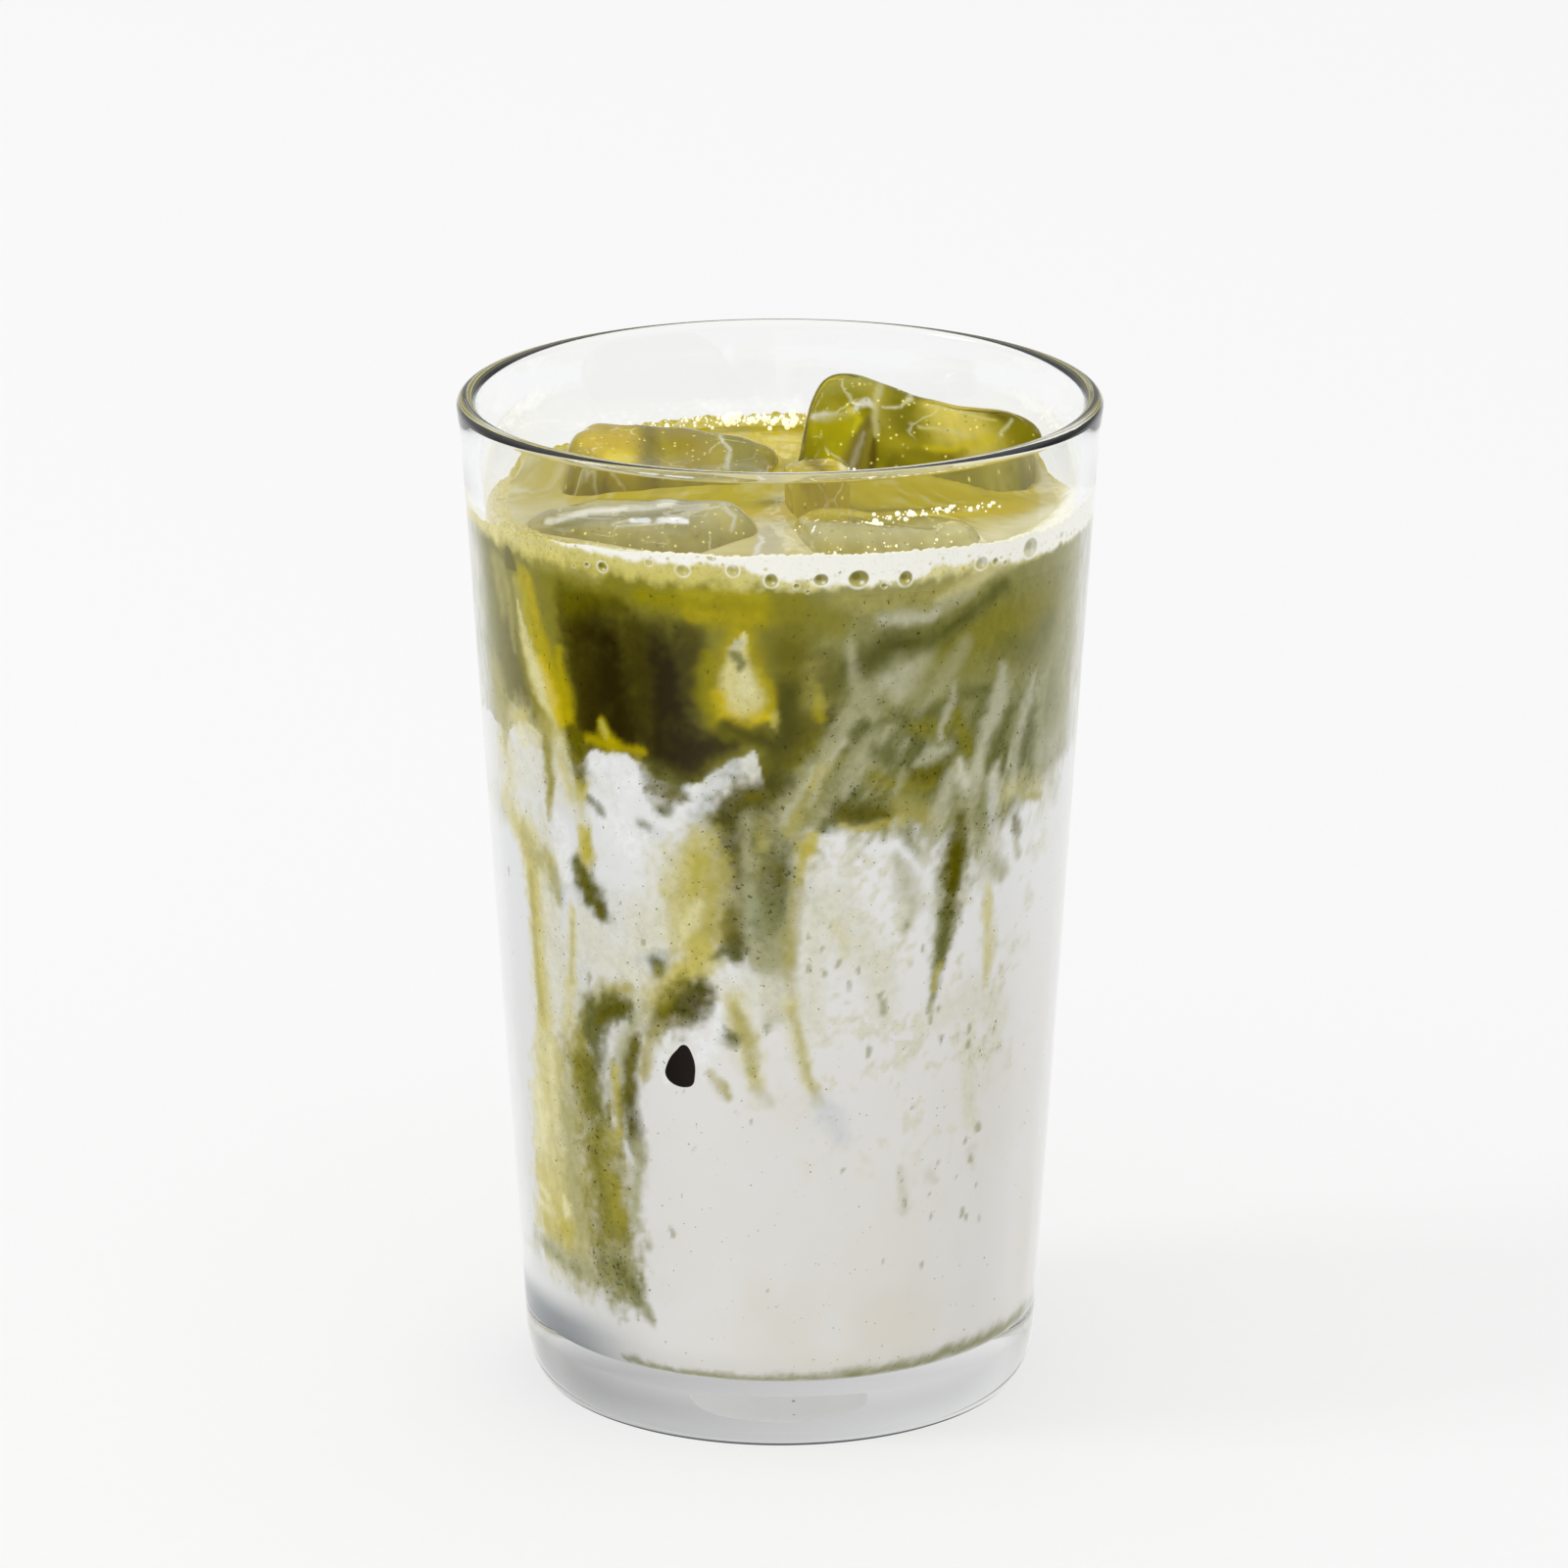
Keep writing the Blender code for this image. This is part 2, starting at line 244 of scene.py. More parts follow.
def glassProfile():
    # Radius and height from the middle of the floor up the inside, over the lip, down the outside and under
    g = glass
    corner, top = g["floorHeight"] + g["floorCorner"], g["height"] - g["beadHeight"]
    half = g["lipThickness"] / 2
    flat = np.linspace(2.0, innerRadius(corner) - g["floorCorner"], 12)[:-1]
    inside, outside = np.linspace(corner, top, 22)[1:], np.linspace(top, g["heelHeight"], 24)
    share = np.array(g["puntShares"])
    return np.concatenate([
        np.stack([flat, np.full(len(flat), g["floorHeight"])], 1),
        arc((innerRadius(corner) - g["floorCorner"], corner), (g["floorCorner"],) * 2, -90, 0, 14),
        np.stack([innerRadius(inside), inside], 1),
        arc((g["rimRadius"] - half, g["height"] - half), (half, half), 180, 0, 19),
        np.stack([outerRadius(outside), outside], 1),
        arc((g["footRadius"], g["heelHeight"]),
            (outerRadius(g["heelHeight"]) - g["footRadius"], g["heelHeight"]), 0, -90, g["heelRows"])[1:],
        np.array([[g["footRadius"] - g["ringWidth"], 0.0]]),
        np.stack([g["puntRadius"] * share, g["puntDepth"] * np.minimum(1, 5 * (1 - share)) ** 0.8], 1),
    ])


def spin(profile, sides):
    # A profile of (radius, height) carried round the axis
    angle = np.linspace(0, 360, sides, endpoint=False)
    return around(angle[None, :], profile[:, :1], profile[:, 1:]).reshape(-1, 3)


def clearGlass():
    # Soda-lime glass, pressed and fire polished: colourless, with the slow waves about 14 mm long that the
    # mould leaves, which let the edges behind it swim a little
    material, tree, place = newMaterial("sodaLimeGlassPressed")
    waves = addNode(tree, "TexNoise", {"Vector": place, "Scale": 1 / 0.014, "Detail": 0.0})
    bump = addNode(tree, "Bump", {"Height": waves, "Strength": 0.03, "Distance": 0.001})
    shader = addNode(tree, "BsdfPrincipled", {
        "Base Color": opaque(glass["tint"]), "Roughness": 0.0, "IOR": 1.5, "Transmission Weight": 1.0,
        "Normal": bump})
    addNode(tree, "OutputMaterial", {"Surface": shader})
    return material


def groundFootShade():
    # The ring the glass stands on, ground dull by use; its dark grey is painted shade, a thin dark line
    # where glass meets table in place of the shadow there
    material, tree, place = newMaterial("sodaLimeGlassGroundShaded")
    scratches = addNode(tree, "TexNoise", {"Vector": place, "Scale": 1 / 0.0008, "Detail": 2.0})
    colour = addNode(tree, "Mix", {"Factor": scratches, "A": opaque(glass["ring"]),
                                   "B": opaque(glass["ringScratches"])}, data_type="RGBA")
    shader = addNode(tree, "BsdfPrincipled", {"Base Color": colour, "Roughness": 0.5, "IOR": 1.5})
    addNode(tree, "OutputMaterial", {"Surface": shader})
    return material


def makeGlass():
    # The profile spun round, closed at the axis above and below, with the ring it stands on in its own
    # material: from just up the heel to just under the foot
    profile = glassProfile()
    rows, sides = len(profile), glass["sides"]
    points = np.concatenate([spin(profile, sides),
                             [[0, 0, glass["floorHeight"]], [0, 0, glass["puntDepth"]]]])
    foot = rows - 1 - len(glass["puntShares"])
    heel = foot - glass["heelRows"]
    low = int(np.argmax(profile[heel:foot, 1] < glass["ringHeight"])) + heel
    faces = gridFaces(rows, sides)
    row = np.arange(len(faces)) // sides
    onRing = (row >= low) & (row < foot)
    piece = makePiece("glassTumbler", points,
                      [(faces[~onRing], 0), (faces[onRing], 1), (capFaces(rows, sides), 0)],
                      [clearGlass(), groundFootShade()], ["glass"])
    piece.visible_shadow = False
    piece.visible_diffuse = False


makeGlass()


def underSkin(code, mirrored, lit):
    # Colour below a clear skin that looks like the given one: less what is mirrored, over the light it gets
    return np.maximum(linear(code) - mirrored, 0) / lit


# Paints of the drink as they look through the wall, which mirrors a little and lets litShare of light in
litShare = 0.87
mirrored = 0.015
paint = dict(
    milk="#DAD8D4", milkBright="#E4E4E3", milkWarm="#D5D0C5", beige="#D3D0BC", hazeBlueAndShade="#C3C6C8",
    foamWhite="#F2F1E8", foamPale="#DCD6A6", foamYellow="#C8BD68", paleTea="#CBC38F", straw="#BDB15C",
    khaki="#A69D58", yellow="#AEA123", glow="#AC9C01", glowBright="#CAB42A", glowPale="#CFC688",
    underFoam="#8E8518", olive="#827C2E", moss="#66600E", pine="#4C4A0C", brownOlive="#6E6C1C",
    umber="#464003", teaDark="#352F00", sageDark="#65663A", sage="#86865A", sagePale="#A5A37E",
    sageCool="#90967A", mist="#B9B79D", teal="#5E6650",
)
tone = {name: underSkin(code, mirrored, litShare) for name, code in paint.items()}

drink = dict(
    intoWall=0.12, level=118.7, layerHeight=87.0, layerTilt=4.5, layerTiltAngle=-70.0,
    layerWaves=((3, 1.2, 0.6), (5, 1.0, 2.1), (8, 0.6, 4.0)), frontHalf=84.0, frontColumns=300,
    backColumns=300, mmPerDegree=0.64, overlap=0.25, leaf="#8B9170",
)
loopLength = 360 * drink["mmPerDegree"]


def columnAngles(front=drink["frontColumns"], back=drink["backColumns"]):
    # Close together over the front half, wider round the back
    half = drink["frontHalf"]
    return np.concatenate([np.linspace(-half, half, front, endpoint=False),
                           np.linspace(half, 360 - half, back, endpoint=False)])


def layerHeight(angle):
    # A tilted plane with waves round the wall: h + tilt * cos(a - a0) + sum of depth * cos(n a + shift)
    turn = np.radians(angle)
    tilt = np.cos(turn - math.radians(drink["layerTiltAngle"]))
    height = drink["layerHeight"] + drink["layerTilt"] * tilt
    for count, depth, shift in drink["layerWaves"]:
        height = height + depth * np.cos(count * turn + shift)
    return height


# Where tea gives way to milk at the wall: (angle, height) round the front, the rest follows clouds
frontEdge = (
    (-90, 92), (-80, 93), (-72, 92), (-66, 91.5), (-62, 94), (-57, 95), (-53, 93.5), (-50, 93.5), (-47, 94),
    (-44, 90.5), (-41.5, 92.4), (-38, 93.8), (-33, 94.2), (-28, 93.2), (-24, 91), (-20, 90.6), (-15, 91.3),
    (-10, 93.6), (-5, 96), (-3, 92), (0, 88), (4, 86.5), (8, 85.5), (14, 85), (20, 84.8), (28, 84),
    (33, 82.5), (40, 82), (47, 81.5), (53, 83.5), (60, 85), (68, 86.5), (78, 88.5), (90, 89),
)

# Airbrush strokes in the order they are laid: colour, softness, strength, ((angle, height, half width), ...)
teaBody = (
    ("brownOlive", 1, 0.9, ((-72, 116, 6), (-70, 98, 6))),
    ("sagePale", 1, 0.8, ((-77, 112, 3.5), (-75, 95, 3.5))),
    ("olive", 0.9, 0.8, ((-66, 113, 2.5), (-62, 108, 2.5))),
    ("moss", 1, 0.95, ((-63, 108, 1.8), (-61, 101, 2.8), (-57.5, 96.5, 2.4))),
    ("khaki", 1, 0.7, ((-71, 99, 2), (-67, 93, 2.4))),
    # the ice that hangs in the tea reads as one dark block
    ("umber", 0.8, 1, ((-41, 112, 2.8), (-39, 97, 3.6))),
    ("moss", 1, 0.9, ((-43, 113, 1.6), (-32, 113.6, 1.6))),
    ("teaDark", 0.9, 1, ((-34, 108.5, 4), (-33, 97, 5))),
    ("teaDark", 0.8, 1, ((-23, 108, 4.2), (-21, 95.5, 5))),
    ("umber", 0.9, 0.7, ((-28, 111, 1.4), (-27.4, 104, 1), (-26, 98, 0.6))),
    ("teaDark", 0.8, 0.9, ((-16, 95.4, 2.4), (-9, 97.4, 1.6))),
    ("umber", 0.9, 0.75, ((-17, 111.5, 1.6), (-15.4, 103, 1.2))),
    ("brownOlive", 0.8, 0.8, ((-9, 98.4, 1.1), (-4, 98, 0.9))),
    # under the froth
    ("olive", 1, 0.85, ((-50, 116.4, 1.2), (-30, 116, 1.1), (-10, 115, 1.6))),
    ("khaki", 1, 0.6, ((-52, 117, 0.8), (-36, 116.9, 0.8))),
    ("underFoam", 1, 1, ((-26, 115.4, 1.2), (-16, 114.6, 1.9), (-4, 114.6, 2.2), (2, 114.6, 1.4))),
    ("yellow", 1, 0.6, ((-18, 116.2, 0.8), (-8, 116.3, 0.9), (-3, 116, 0.9))),
    ("glow", 1, 0.7, ((-17, 113.9, 0.9), (-9, 113.2, 1.2), (-4, 113.8, 0.9))),
    # the middle
    ("olive", 1, 0.9, ((3, 114.6, 2.2), (9, 113, 2.6))),
    ("moss", 1, 0.9, ((2, 109, 2.6), (5, 106, 2.6), (8, 103.6, 1.6))),
    ("moss", 0.8, 1, ((7.4, 100.4, 1.7), (5, 97, 2.4), (2, 93.8, 2.6), (-1, 91, 2.2))),
    ("pine", 1, 0.95, ((1.4, 104, 1.6), (1.8, 98, 2.6), (0, 94, 2.2))),
    ("pine", 0.9, 0.7, ((9.4, 101.6, 0.6), (9.8, 99, 0.6))),
    ("yellow", 1, 0.7, ((7.4, 104.4, 0.5), (7.2, 102, 0.9), (8, 100.2, 0.6))),
    ("khaki", 1, 0.45, ((6, 107, 0.9), (7, 103, 1.4))),
    # to the right: olive, with mist in it over and under a dark arc
    ("sage", 1, 0.9, ((26, 107, 4.2), (45, 107, 5.6), (62, 108, 5))),
    ("olive", 1, 0.85, ((34, 108, 4), (45, 109, 4.6), (60, 110, 4))),
    ("khaki", 1, 0.7, ((11, 115.6, 1.2), (20, 114.9, 1.5), (30, 115.6, 1.2), (40, 117, 0.9))),
    ("paleTea", 0.9, 0.75, ((31, 114.6, 0.8), (38, 116, 1.1), (46, 117.4, 1), (60, 118.4, 0.8))),
    ("sagePale", 0.9, 0.8, ((19, 112.9, 0.7), (30, 113.2, 1.2), (37, 114.8, 0.8))),
    ("mist", 0.9, 0.85, ((19.6, 112.4, 0.6), (24, 112.4, 0.9), (30, 112.6, 0.7))),
    ("sageDark", 1, 0.95, ((11, 105, 1.8), (16, 107, 2.4), (21, 108.4, 2.4), (28, 109, 1.8),
                           (34, 110.6, 1.5),
                             (39, 112.2, 1.3), (46, 114.2, 0.9))),
    ("pine", 1, 0.6, ((14, 106.8, 1.3), (20, 108.8, 1.4), (26, 109.6, 1))),
    ("pine", 0.9, 0.35, ((32, 110, 0.6), (37.5, 112, 0.6))),
    ("moss", 1, 0.5, ((9.6, 108.4, 1), (10.2, 105, 1.2), (10.6, 103, 0.8))),
    ("sagePale", 1, 0.85, ((19, 103.6, 1.5), (24, 104.6, 2.2), (28, 106.4, 1.3))),
    ("mist", 1, 0.55, ((20, 104, 0.9), (25, 105.8, 0.9), (22.6, 102.4, 1))),
    ("sagePale", 0.9, 0.8, ((13.2, 110, 0.6), (14, 106.6, 0.7), (15.4, 103, 0.9), (18, 100, 1))),
    ("sagePale", 0.9, 0.6, ((37, 107.6, 1.2), (33, 104.6, 1.4), (30, 101.6, 1))),
    ("sageDark", 1, 0.7, ((20, 98.8, 0.8), (25, 98, 1.2), (31, 99.8, 0.9), (37, 101.4, 0.9),
                          (43, 101, 0.9))),
    ("sageDark", 1, 0.5, ((48, 106, 1.6), (56, 105, 2), (62, 108, 1.4))),
    ("sagePale", 1, 0.85, ((73, 116, 3.2), (70, 104, 3), (71, 92, 3.6))),
    ("sage", 1, 0.7, ((63, 98, 2.6), (63, 91, 2.4))),
    # painted reflection: a pale band at the right edge, where the glass bends the white surroundings in
    ("mist", 1, 0.8, ((80, 112, 3), (79, 90, 3.5))),
)
# Marks round the ice in the tea: a painted glow of yellow where it passes light through to the wall, and
# tones beside it
glowMarks = (
    ("khaki", 1, 0.6, ((-66.5, 114.5, 1), (-64.5, 108, 0.8))),
    ("khaki", 1, 0.6, ((-63.4, 114.6, 0.7), (-61.6, 109, 0.8), (-60.4, 104, 0.5))),
    ("yellow", 1, 0.85, ((-56.8, 114.4, 1.2), (-54, 105, 2), (-50.6, 98.6, 2.3), (-48.6, 95.4, 1.4))),
    ("glow", 0.9, 1, ((-54.4, 114.8, 0.8), (-52.4, 108, 1.1), (-49.2, 102, 1.6), (-46.6, 97.4, 1.3))),
    ("khaki", 1, 0.7, ((-59, 113, 0.6), (-57.4, 108, 1), (-55.6, 104, 0.8))),
    ("glowPale", 0.5, 0.95, ((-59, 110.8, 0.25), (-56.2, 106.4, 0.9), (-53.4, 102, 1.7), (-50.8, 98.6, 1.7),
                             (-49, 95.8, 0.9))),
    ("glowBright", 0.9, 0.7, ((-51.6, 104, 0.7), (-48.6, 98.6, 1.3), (-47, 96.6, 0.8))),
    ("foamPale", 0.9, 0.5, ((-54.2, 102.6, 0.6), (-51.6, 98, 0.8))),
    ("umber", 1, 0.4, ((-45.6, 112, 0.5), (-42.6, 103, 0.6))),
    ("underFoam", 1, 0.9, ((-13.4, 108, 0.9), (-13.8, 103, 1.3), (-12, 100.2, 1.2))),
    ("glow", 0.9, 1, ((-7.4, 111, 1.4), (-7.4, 107, 2.3), (-6.6, 102.8, 2.8))),
    ("glow", 0.8, 0.9, ((-3.6, 106.6, 0.6), (-2, 102.6, 1), (-2.2, 100.8, 0.8))),
    ("glowBright", 0.9, 0.8, ((-11, 103, 0.9), (-10, 101, 1), (-5, 100.9, 0.9), (-1.8, 100.8, 0.7))),
    ("straw", 0.8, 0.7, ((-0.8, 101.4, 0.5), (-0.8, 99.2, 0.4))),
    ("glowPale", 0.4, 1, ((-6.6, 111.4, 0.3), (-7.6, 109, 1.1), (-7.2, 105.6, 2.1), (-6.6, 103, 2.3))),
    ("foamPale", 0.8, 0.7, ((-6.2, 106.4, 0.7), (-6, 103.8, 0.9))),
    ("mist", 0.7, 0.8, ((-7.2, 110.4, 0.5), (-8, 109.6, 0.6))),
    ("sageDark", 0.7, 0.8, ((-8.2, 108.3, 0.8), (-6.8, 107.6, 0.7), (-7.4, 106.6, 0.4))),
    ("umber", 1, 0.75, ((-9.6, 99.4, 0.9), (-5.4, 98.2, 1.1), (-1.4, 97.2, 0.8))),
    ("glow", 0.9, 0.8, ((-46.6, 106, 0.5), (-45.4, 100, 1.1), (-44.6, 97, 0.9))),
    ("yellow", 0.9, 0.95, ((-36.6, 97.6, 0.6), (-35.8, 96, 0.8), (-34, 95, 0.8))),
    ("straw", 0.9, 0.7, ((-36.6, 97.4, 0.4), (-35.8, 96, 0.4))),
    ("glow", 1, 0.8, ((-40, 94.8, 0.8), (-34, 94.9, 1), (-28, 94.4, 0.6))),
    ("khaki", 1, 0.6, ((-29, 93.4, 0.5), (-27, 92.6, 0.4), (-25.6, 91.6, 0.4))),
)
mixing = (
    # stained milk below the tea, left to right
    ("beige", 1, 0.8, ((-70, 88, 4), (-56, 88, 4), (-46, 88, 2.6))),
    ("paleTea", 1, 0.7, ((-68, 90, 1.6), (-66, 82, 1.6))),
    ("paleTea", 1, 0.85, ((-63, 94.6, 1.4), (-59, 94.6, 2), (-55, 93, 1.6))),
    ("straw", 1, 0.5, ((-61.5, 94, 0.7), (-58.6, 95.2, 0.9))),
    ("foamPale", 0.9, 0.6, ((-61.6, 92.8, 0.8), (-58.6, 91.6, 0.9))),
    ("khaki", 1, 0.8, ((-69, 96, 1.6), (-68, 92, 1.3), (-67.6, 89.6, 0.8))),
    ("khaki", 0.9, 0.95, ((-50.6, 95, 1.5), (-50.8, 91.4, 0.9), (-51.4, 87, 0.8), (-52.4, 82.6, 0.7))),
    ("olive", 0.9, 0.5, ((-50.8, 93, 0.6), (-51.6, 86, 0.45))),
    ("paleTea", 0.9, 0.9, ((-47.4, 93.6, 1.4), (-46.6, 90, 1.2), (-45, 86, 0.8))),
    ("khaki", 1, 0.7, ((-44, 92, 1.7), (-43, 88, 1.3), (-42.6, 84, 0.9))),
    ("moss", 0.7, 1, ((-43.6, 95, 1.5), (-43, 91.4, 1.3), (-42.4, 88.4, 0.8))),
    ("straw", 0.9, 0.8, ((-42.8, 88.4, 0.6), (-43, 86.2, 0.6), (-40.6, 88.6, 0.4))),
    ("beige", 1, 0.8, ((-44, 85, 1.3), (-42, 83.4, 1.1))),
    ("milkBright", 0.5, 0.95, ((-38, 91.4, 1), (-35, 91.6, 1.9), (-31.6, 90, 2.4))),
    ("milkBright", 0.7, 0.8, ((-36, 86, 2.6), (-30, 82, 2.6))),
    ("sageDark", 0.9, 0.9, ((-26.4, 92.6, 0.9), (-24.6, 90.6, 1.3), (-20.6, 90.4, 1.2))),
    ("moss", 0.9, 0.9, ((-26, 89.4, 0.7), (-23.6, 88.8, 1.3), (-21.4, 89.2, 1.2), (-18.6, 89, 0.7))),
    ("sageDark", 1, 0.7, ((-24, 87.2, 0.7), (-21.6, 87.2, 0.6))),
    ("sageDark", 0.8, 0.7, ((-41, 86.9, 0.4), (-39, 86.1, 0.6), (-37.6, 85.2, 0.6))),
    ("sageDark", 0.9, 0.7, ((-28.6, 85, 0.7), (-27, 84.6, 0.5))),
    ("hazeBlueAndShade", 1, 0.9, ((-17, 86.6, 0.8), (-15, 88.4, 1.2), (-12, 91, 1), (-8, 93.6, 0.7))),
    ("hazeBlueAndShade", 1, 0.5, ((-26.6, 84.2, 0.7), (-24, 84, 0.8))),
    # the olive column that sinks from the tea past the middle
    ("sagePale", 1, 0.9, ((-14, 86, 1.6), (-18, 82, 2), (-20, 77, 2.2))),
    ("olive", 0.9, 0.9, ((8, 95, 2.6), (4, 90, 4), (-2, 87.4, 4.6), (-4, 82, 4.8), (-3.4, 76, 4.4),
                         (-3, 70, 3.4))),
    ("sage", 1, 0.7, ((8, 93, 2), (2, 88, 3), (-2, 82, 3.2), (-3, 74, 3.2))),
    ("moss", 1, 0.7, ((-8, 88, 2), (-10, 83, 2.2), (-8.6, 77, 1.6), (-9, 71, 1.7))),
    ("sagePale", 0.9, 0.95, ((14, 100, 1), (10, 96.2, 1.3), (6, 92.4, 1.6), (3, 89, 1.6), (1, 86, 1.2))),
    ("khaki", 0.9, 0.8, ((9, 94.2, 0.8), (6.6, 91.8, 1.2), (4, 88.6, 1.1), (2, 84.6, 1))),
    ("straw", 1, 0.6, ((8.4, 93, 0.6), (6.4, 91.6, 0.8))),
    ("mist", 1, 0.6, ((6.6, 93.6, 0.3), (3.4, 90, 0.4), (1, 86.4, 0.5))),
    ("mist", 1, 0.6, ((12, 97, 0.4), (8.6, 93.8, 0.4), (5.6, 88.6, 0.4))),
    ("sagePale", 1, 0.55, ((17, 93.6, 1.2), (12, 90.4, 1.3), (7.6, 86.8, 1.2), (5.6, 83, 0.8))),
    ("sageDark", 0.9, 0.85, ((15, 89.8, 0.9), (11, 87.4, 1.1), (7.4, 84.8, 0.7))),
    ("pine", 0.9, 0.95, ((-0.6, 91.6, 1.6), (-4.6, 90, 2), (-8, 88.8, 1.6))),
    ("moss", 0.8, 0.95, ((-5, 89.4, 2), (-9.6, 88.2, 2.1), (-11.4, 86, 1.7), (-11, 83.6, 1.6),
                         (-9.6, 81.2, 1))),
    ("pine", 1, 0.75, ((-9.6, 88, 1.2), (-10.8, 85.6, 1.1), (-10.2, 83, 1))),
    ("sageDark", 1, 0.8, ((-4.6, 87, 1.2), (-5.6, 84, 1))),
    ("sagePale", 1, 0.8, ((-6.4, 86.4, 0.7), (-6.8, 83, 0.6), (-6, 80, 0.6))),
    ("khaki", 1, 0.6, ((-4, 86, 0.9), (-3, 82.6, 1.1), (-3.6, 79.6, 0.8))),
    ("sageDark", 1, 0.95, ((-0.4, 81.6, 1.5), (-0.6, 78, 2.1), (0.4, 75.6, 1.7), (-2, 73.4, 1.5))),
    ("moss", 1, 0.6, ((-0.8, 80.4, 0.8), (0.2, 77, 1.2))),
    ("sagePale", 1, 0.7, ((-5.8, 78, 0.9), (-6, 73, 1.3), (-4.4, 68.4, 1.5))),
    ("sageCool", 1, 0.5, ((-5.4, 76, 0.9), (-4.6, 71.6, 1.3))),
    ("sage", 1, 0.75, ((-1.6, 72.6, 2), (-1, 68, 1.6))),
    ("sagePale", 1, 0.8, ((-1.6, 69, 1.9), (-1, 65, 1.8), (-1.4, 60, 1.2))),
    ("straw", 0.9, 0.9, ((6, 84.2, 0.9), (4.6, 81.6, 1.2), (3.6, 78.6, 0.8))),
    ("yellow", 1, 0.5, ((4.8, 82.8, 0.6), (3.8, 79.8, 0.5))),
    ("khaki", 1, 0.85, ((3.6, 77.6, 0.9), (2.4, 72, 0.9), (1.6, 66, 0.9), (2, 61, 0.8))),
    # the pale yellow cloud left of it
    ("beige", 1, 0.9, ((-23, 80, 2.6), (-22, 70, 3.6))),
    ("paleTea", 0.9, 0.95, ((-16.6, 82.6, 2), (-18, 78, 3.6), (-18, 72, 3.8), (-16.6, 68.6, 2.8))),
    ("straw", 0.9, 0.75, ((-14.6, 83, 2), (-16, 79.4, 3), (-18, 76.4, 3.2), (-17.4, 71, 3),
                          (-15.6, 68, 2.4))),
    ("khaki", 1, 0.6, ((-14, 82, 1.2), (-14.6, 76, 1.6), (-15.6, 70, 1.6))),
    ("yellow", 1, 0.4, ((-15.8, 81, 1.1), (-16.4, 78.6, 1.2), (-19.8, 75.6, 1.2))),
    ("yellow", 1, 0.3, ((-13.4, 78, 0.8), (-13, 74, 0.9), (-14.4, 70, 0.9))),
    ("foamPale", 1, 0.7, ((-16.6, 75, 0.7), (-18.4, 72.8, 1.2), (-20, 70.6, 0.8))),
    ("khaki", 1, 0.85, ((-11.6, 79.6, 1.2), (-10.8, 75, 1.5), (-11.6, 71, 1.5))),
    ("moss", 1, 0.8, ((-9.6, 74.6, 0.9), (-9, 71.6, 1.1), (-9.6, 69, 1.3), (-8.4, 67.6, 0.9))),
    ("sageDark", 0.9, 0.85, ((-14, 67.6, 0.6), (-11, 68.4, 1.1), (-8.6, 68.6, 1))),
    ("pine", 1, 0.6, ((-8.8, 70.6, 0.6), (-8.6, 68.4, 0.7))),
    ("straw", 0.9, 0.85, ((-16.6, 69, 1.4), (-18.4, 66.4, 1.5), (-20.4, 64, 1.5))),
    ("beige", 1, 0.9, ((-12, 64.6, 1.4), (-6, 62.6, 2.4), (0, 62.6, 2.4))),
    ("beige", 1, 0.7, ((-30, 72, 1.4), (-29, 66, 2), (-32, 62, 2))),
    ("milkBright", 0.8, 0.7, ((-12.6, 65.4, 0.6), (-9.4, 64.8, 0.6))),
    # the hem to the right
    ("sageDark", 1, 0.75, ((14.2, 97.8, 0.7), (17, 97.8, 1), (15.6, 99, 0.5))),
    ("sagePale", 1, 0.9, ((21, 98, 0.9), (17, 95.4, 1.4), (12.6, 92.4, 1.2))),
    ("olive", 1, 0.8, ((18, 91.6, 1.4), (24, 90.4, 1.8), (30, 90, 1.5))),
    ("sageDark", 1, 0.8, ((18.4, 95, 1), (23, 93.8, 1.7), (27.4, 94.6, 1.4), (26, 97, 1))),
    ("olive", 0.9, 0.75, ((26, 97.6, 0.9), (30, 97.6, 1.2), (34, 97, 0.9))),
    ("mist", 1, 0.75, ((28.4, 93, 0.8), (31, 94.2, 1.1), (34, 94.6, 0.8))),
    ("moss", 0.9, 0.8, ((27, 91.4, 0.7), (31, 91.2, 1), (34.4, 91.4, 0.7))),
    ("sagePale", 1, 0.7, ((24.6, 92.4, 0.5), (22.6, 89.4, 0.6))),
    ("moss", 0.8, 1, ((11.4, 87.2, 1.2), (15, 87.4, 1.9), (19, 86.8, 1.6), (22.4, 86.4, 1))),
    ("pine", 1, 0.45, ((14, 87.8, 0.9), (18, 87, 1))),
    ("khaki", 1, 0.75, ((23.4, 87.4, 1.1), (27, 86.4, 1.6), (31.4, 85, 1.4))),
    ("straw", 0.9, 0.75, ((11.6, 85.6, 0.45), (15, 84.9, 0.5), (19, 84.9, 0.55), (24, 85.6, 0.9))),
    ("olive", 1, 0.6, ((21, 85, 0.7), (20.6, 83, 0.5))),
    ("sage", 1, 0.8, ((25.4, 84, 0.8), (27, 82.4, 0.9), (29, 80.6, 0.6))),
    ("mist", 0.9, 0.8, ((23, 85.8, 0.4), (22.8, 83.6, 0.5))),
    ("mist", 1, 0.8, ((35.4, 90.6, 0.9), (34, 87, 1.2), (31.6, 83.4, 1), (30, 79.6, 0.8))),
    ("beige", 1, 0.8, ((36.8, 92.6, 0.4), (38, 90.4, 0.8), (39.6, 87.6, 0.8))),
    ("olive", 0.9, 0.85, ((35.8, 99, 0.8), (37.6, 96, 1.2), (39.6, 93, 0.9))),
    ("mist", 0.9, 0.85, ((47.6, 103.4, 0.7), (46.6, 99.4, 1.3), (44, 96, 1.3), (42, 91.6, 1.1),
                         (41.4, 86, 0.9))),
    ("mist", 0.9, 0.8, ((57, 101, 0.6), (54.6, 97, 1), (52.4, 92, 1.1), (52.4, 86, 0.9))),
    ("mist", 1, 0.7, ((35, 103, 0.5), (34, 99.4, 0.6), (32.4, 96.4, 0.5))),
    ("beige", 1, 0.8, ((46.4, 90, 0.9), (46, 85, 1.2), (47, 80.6, 1))),
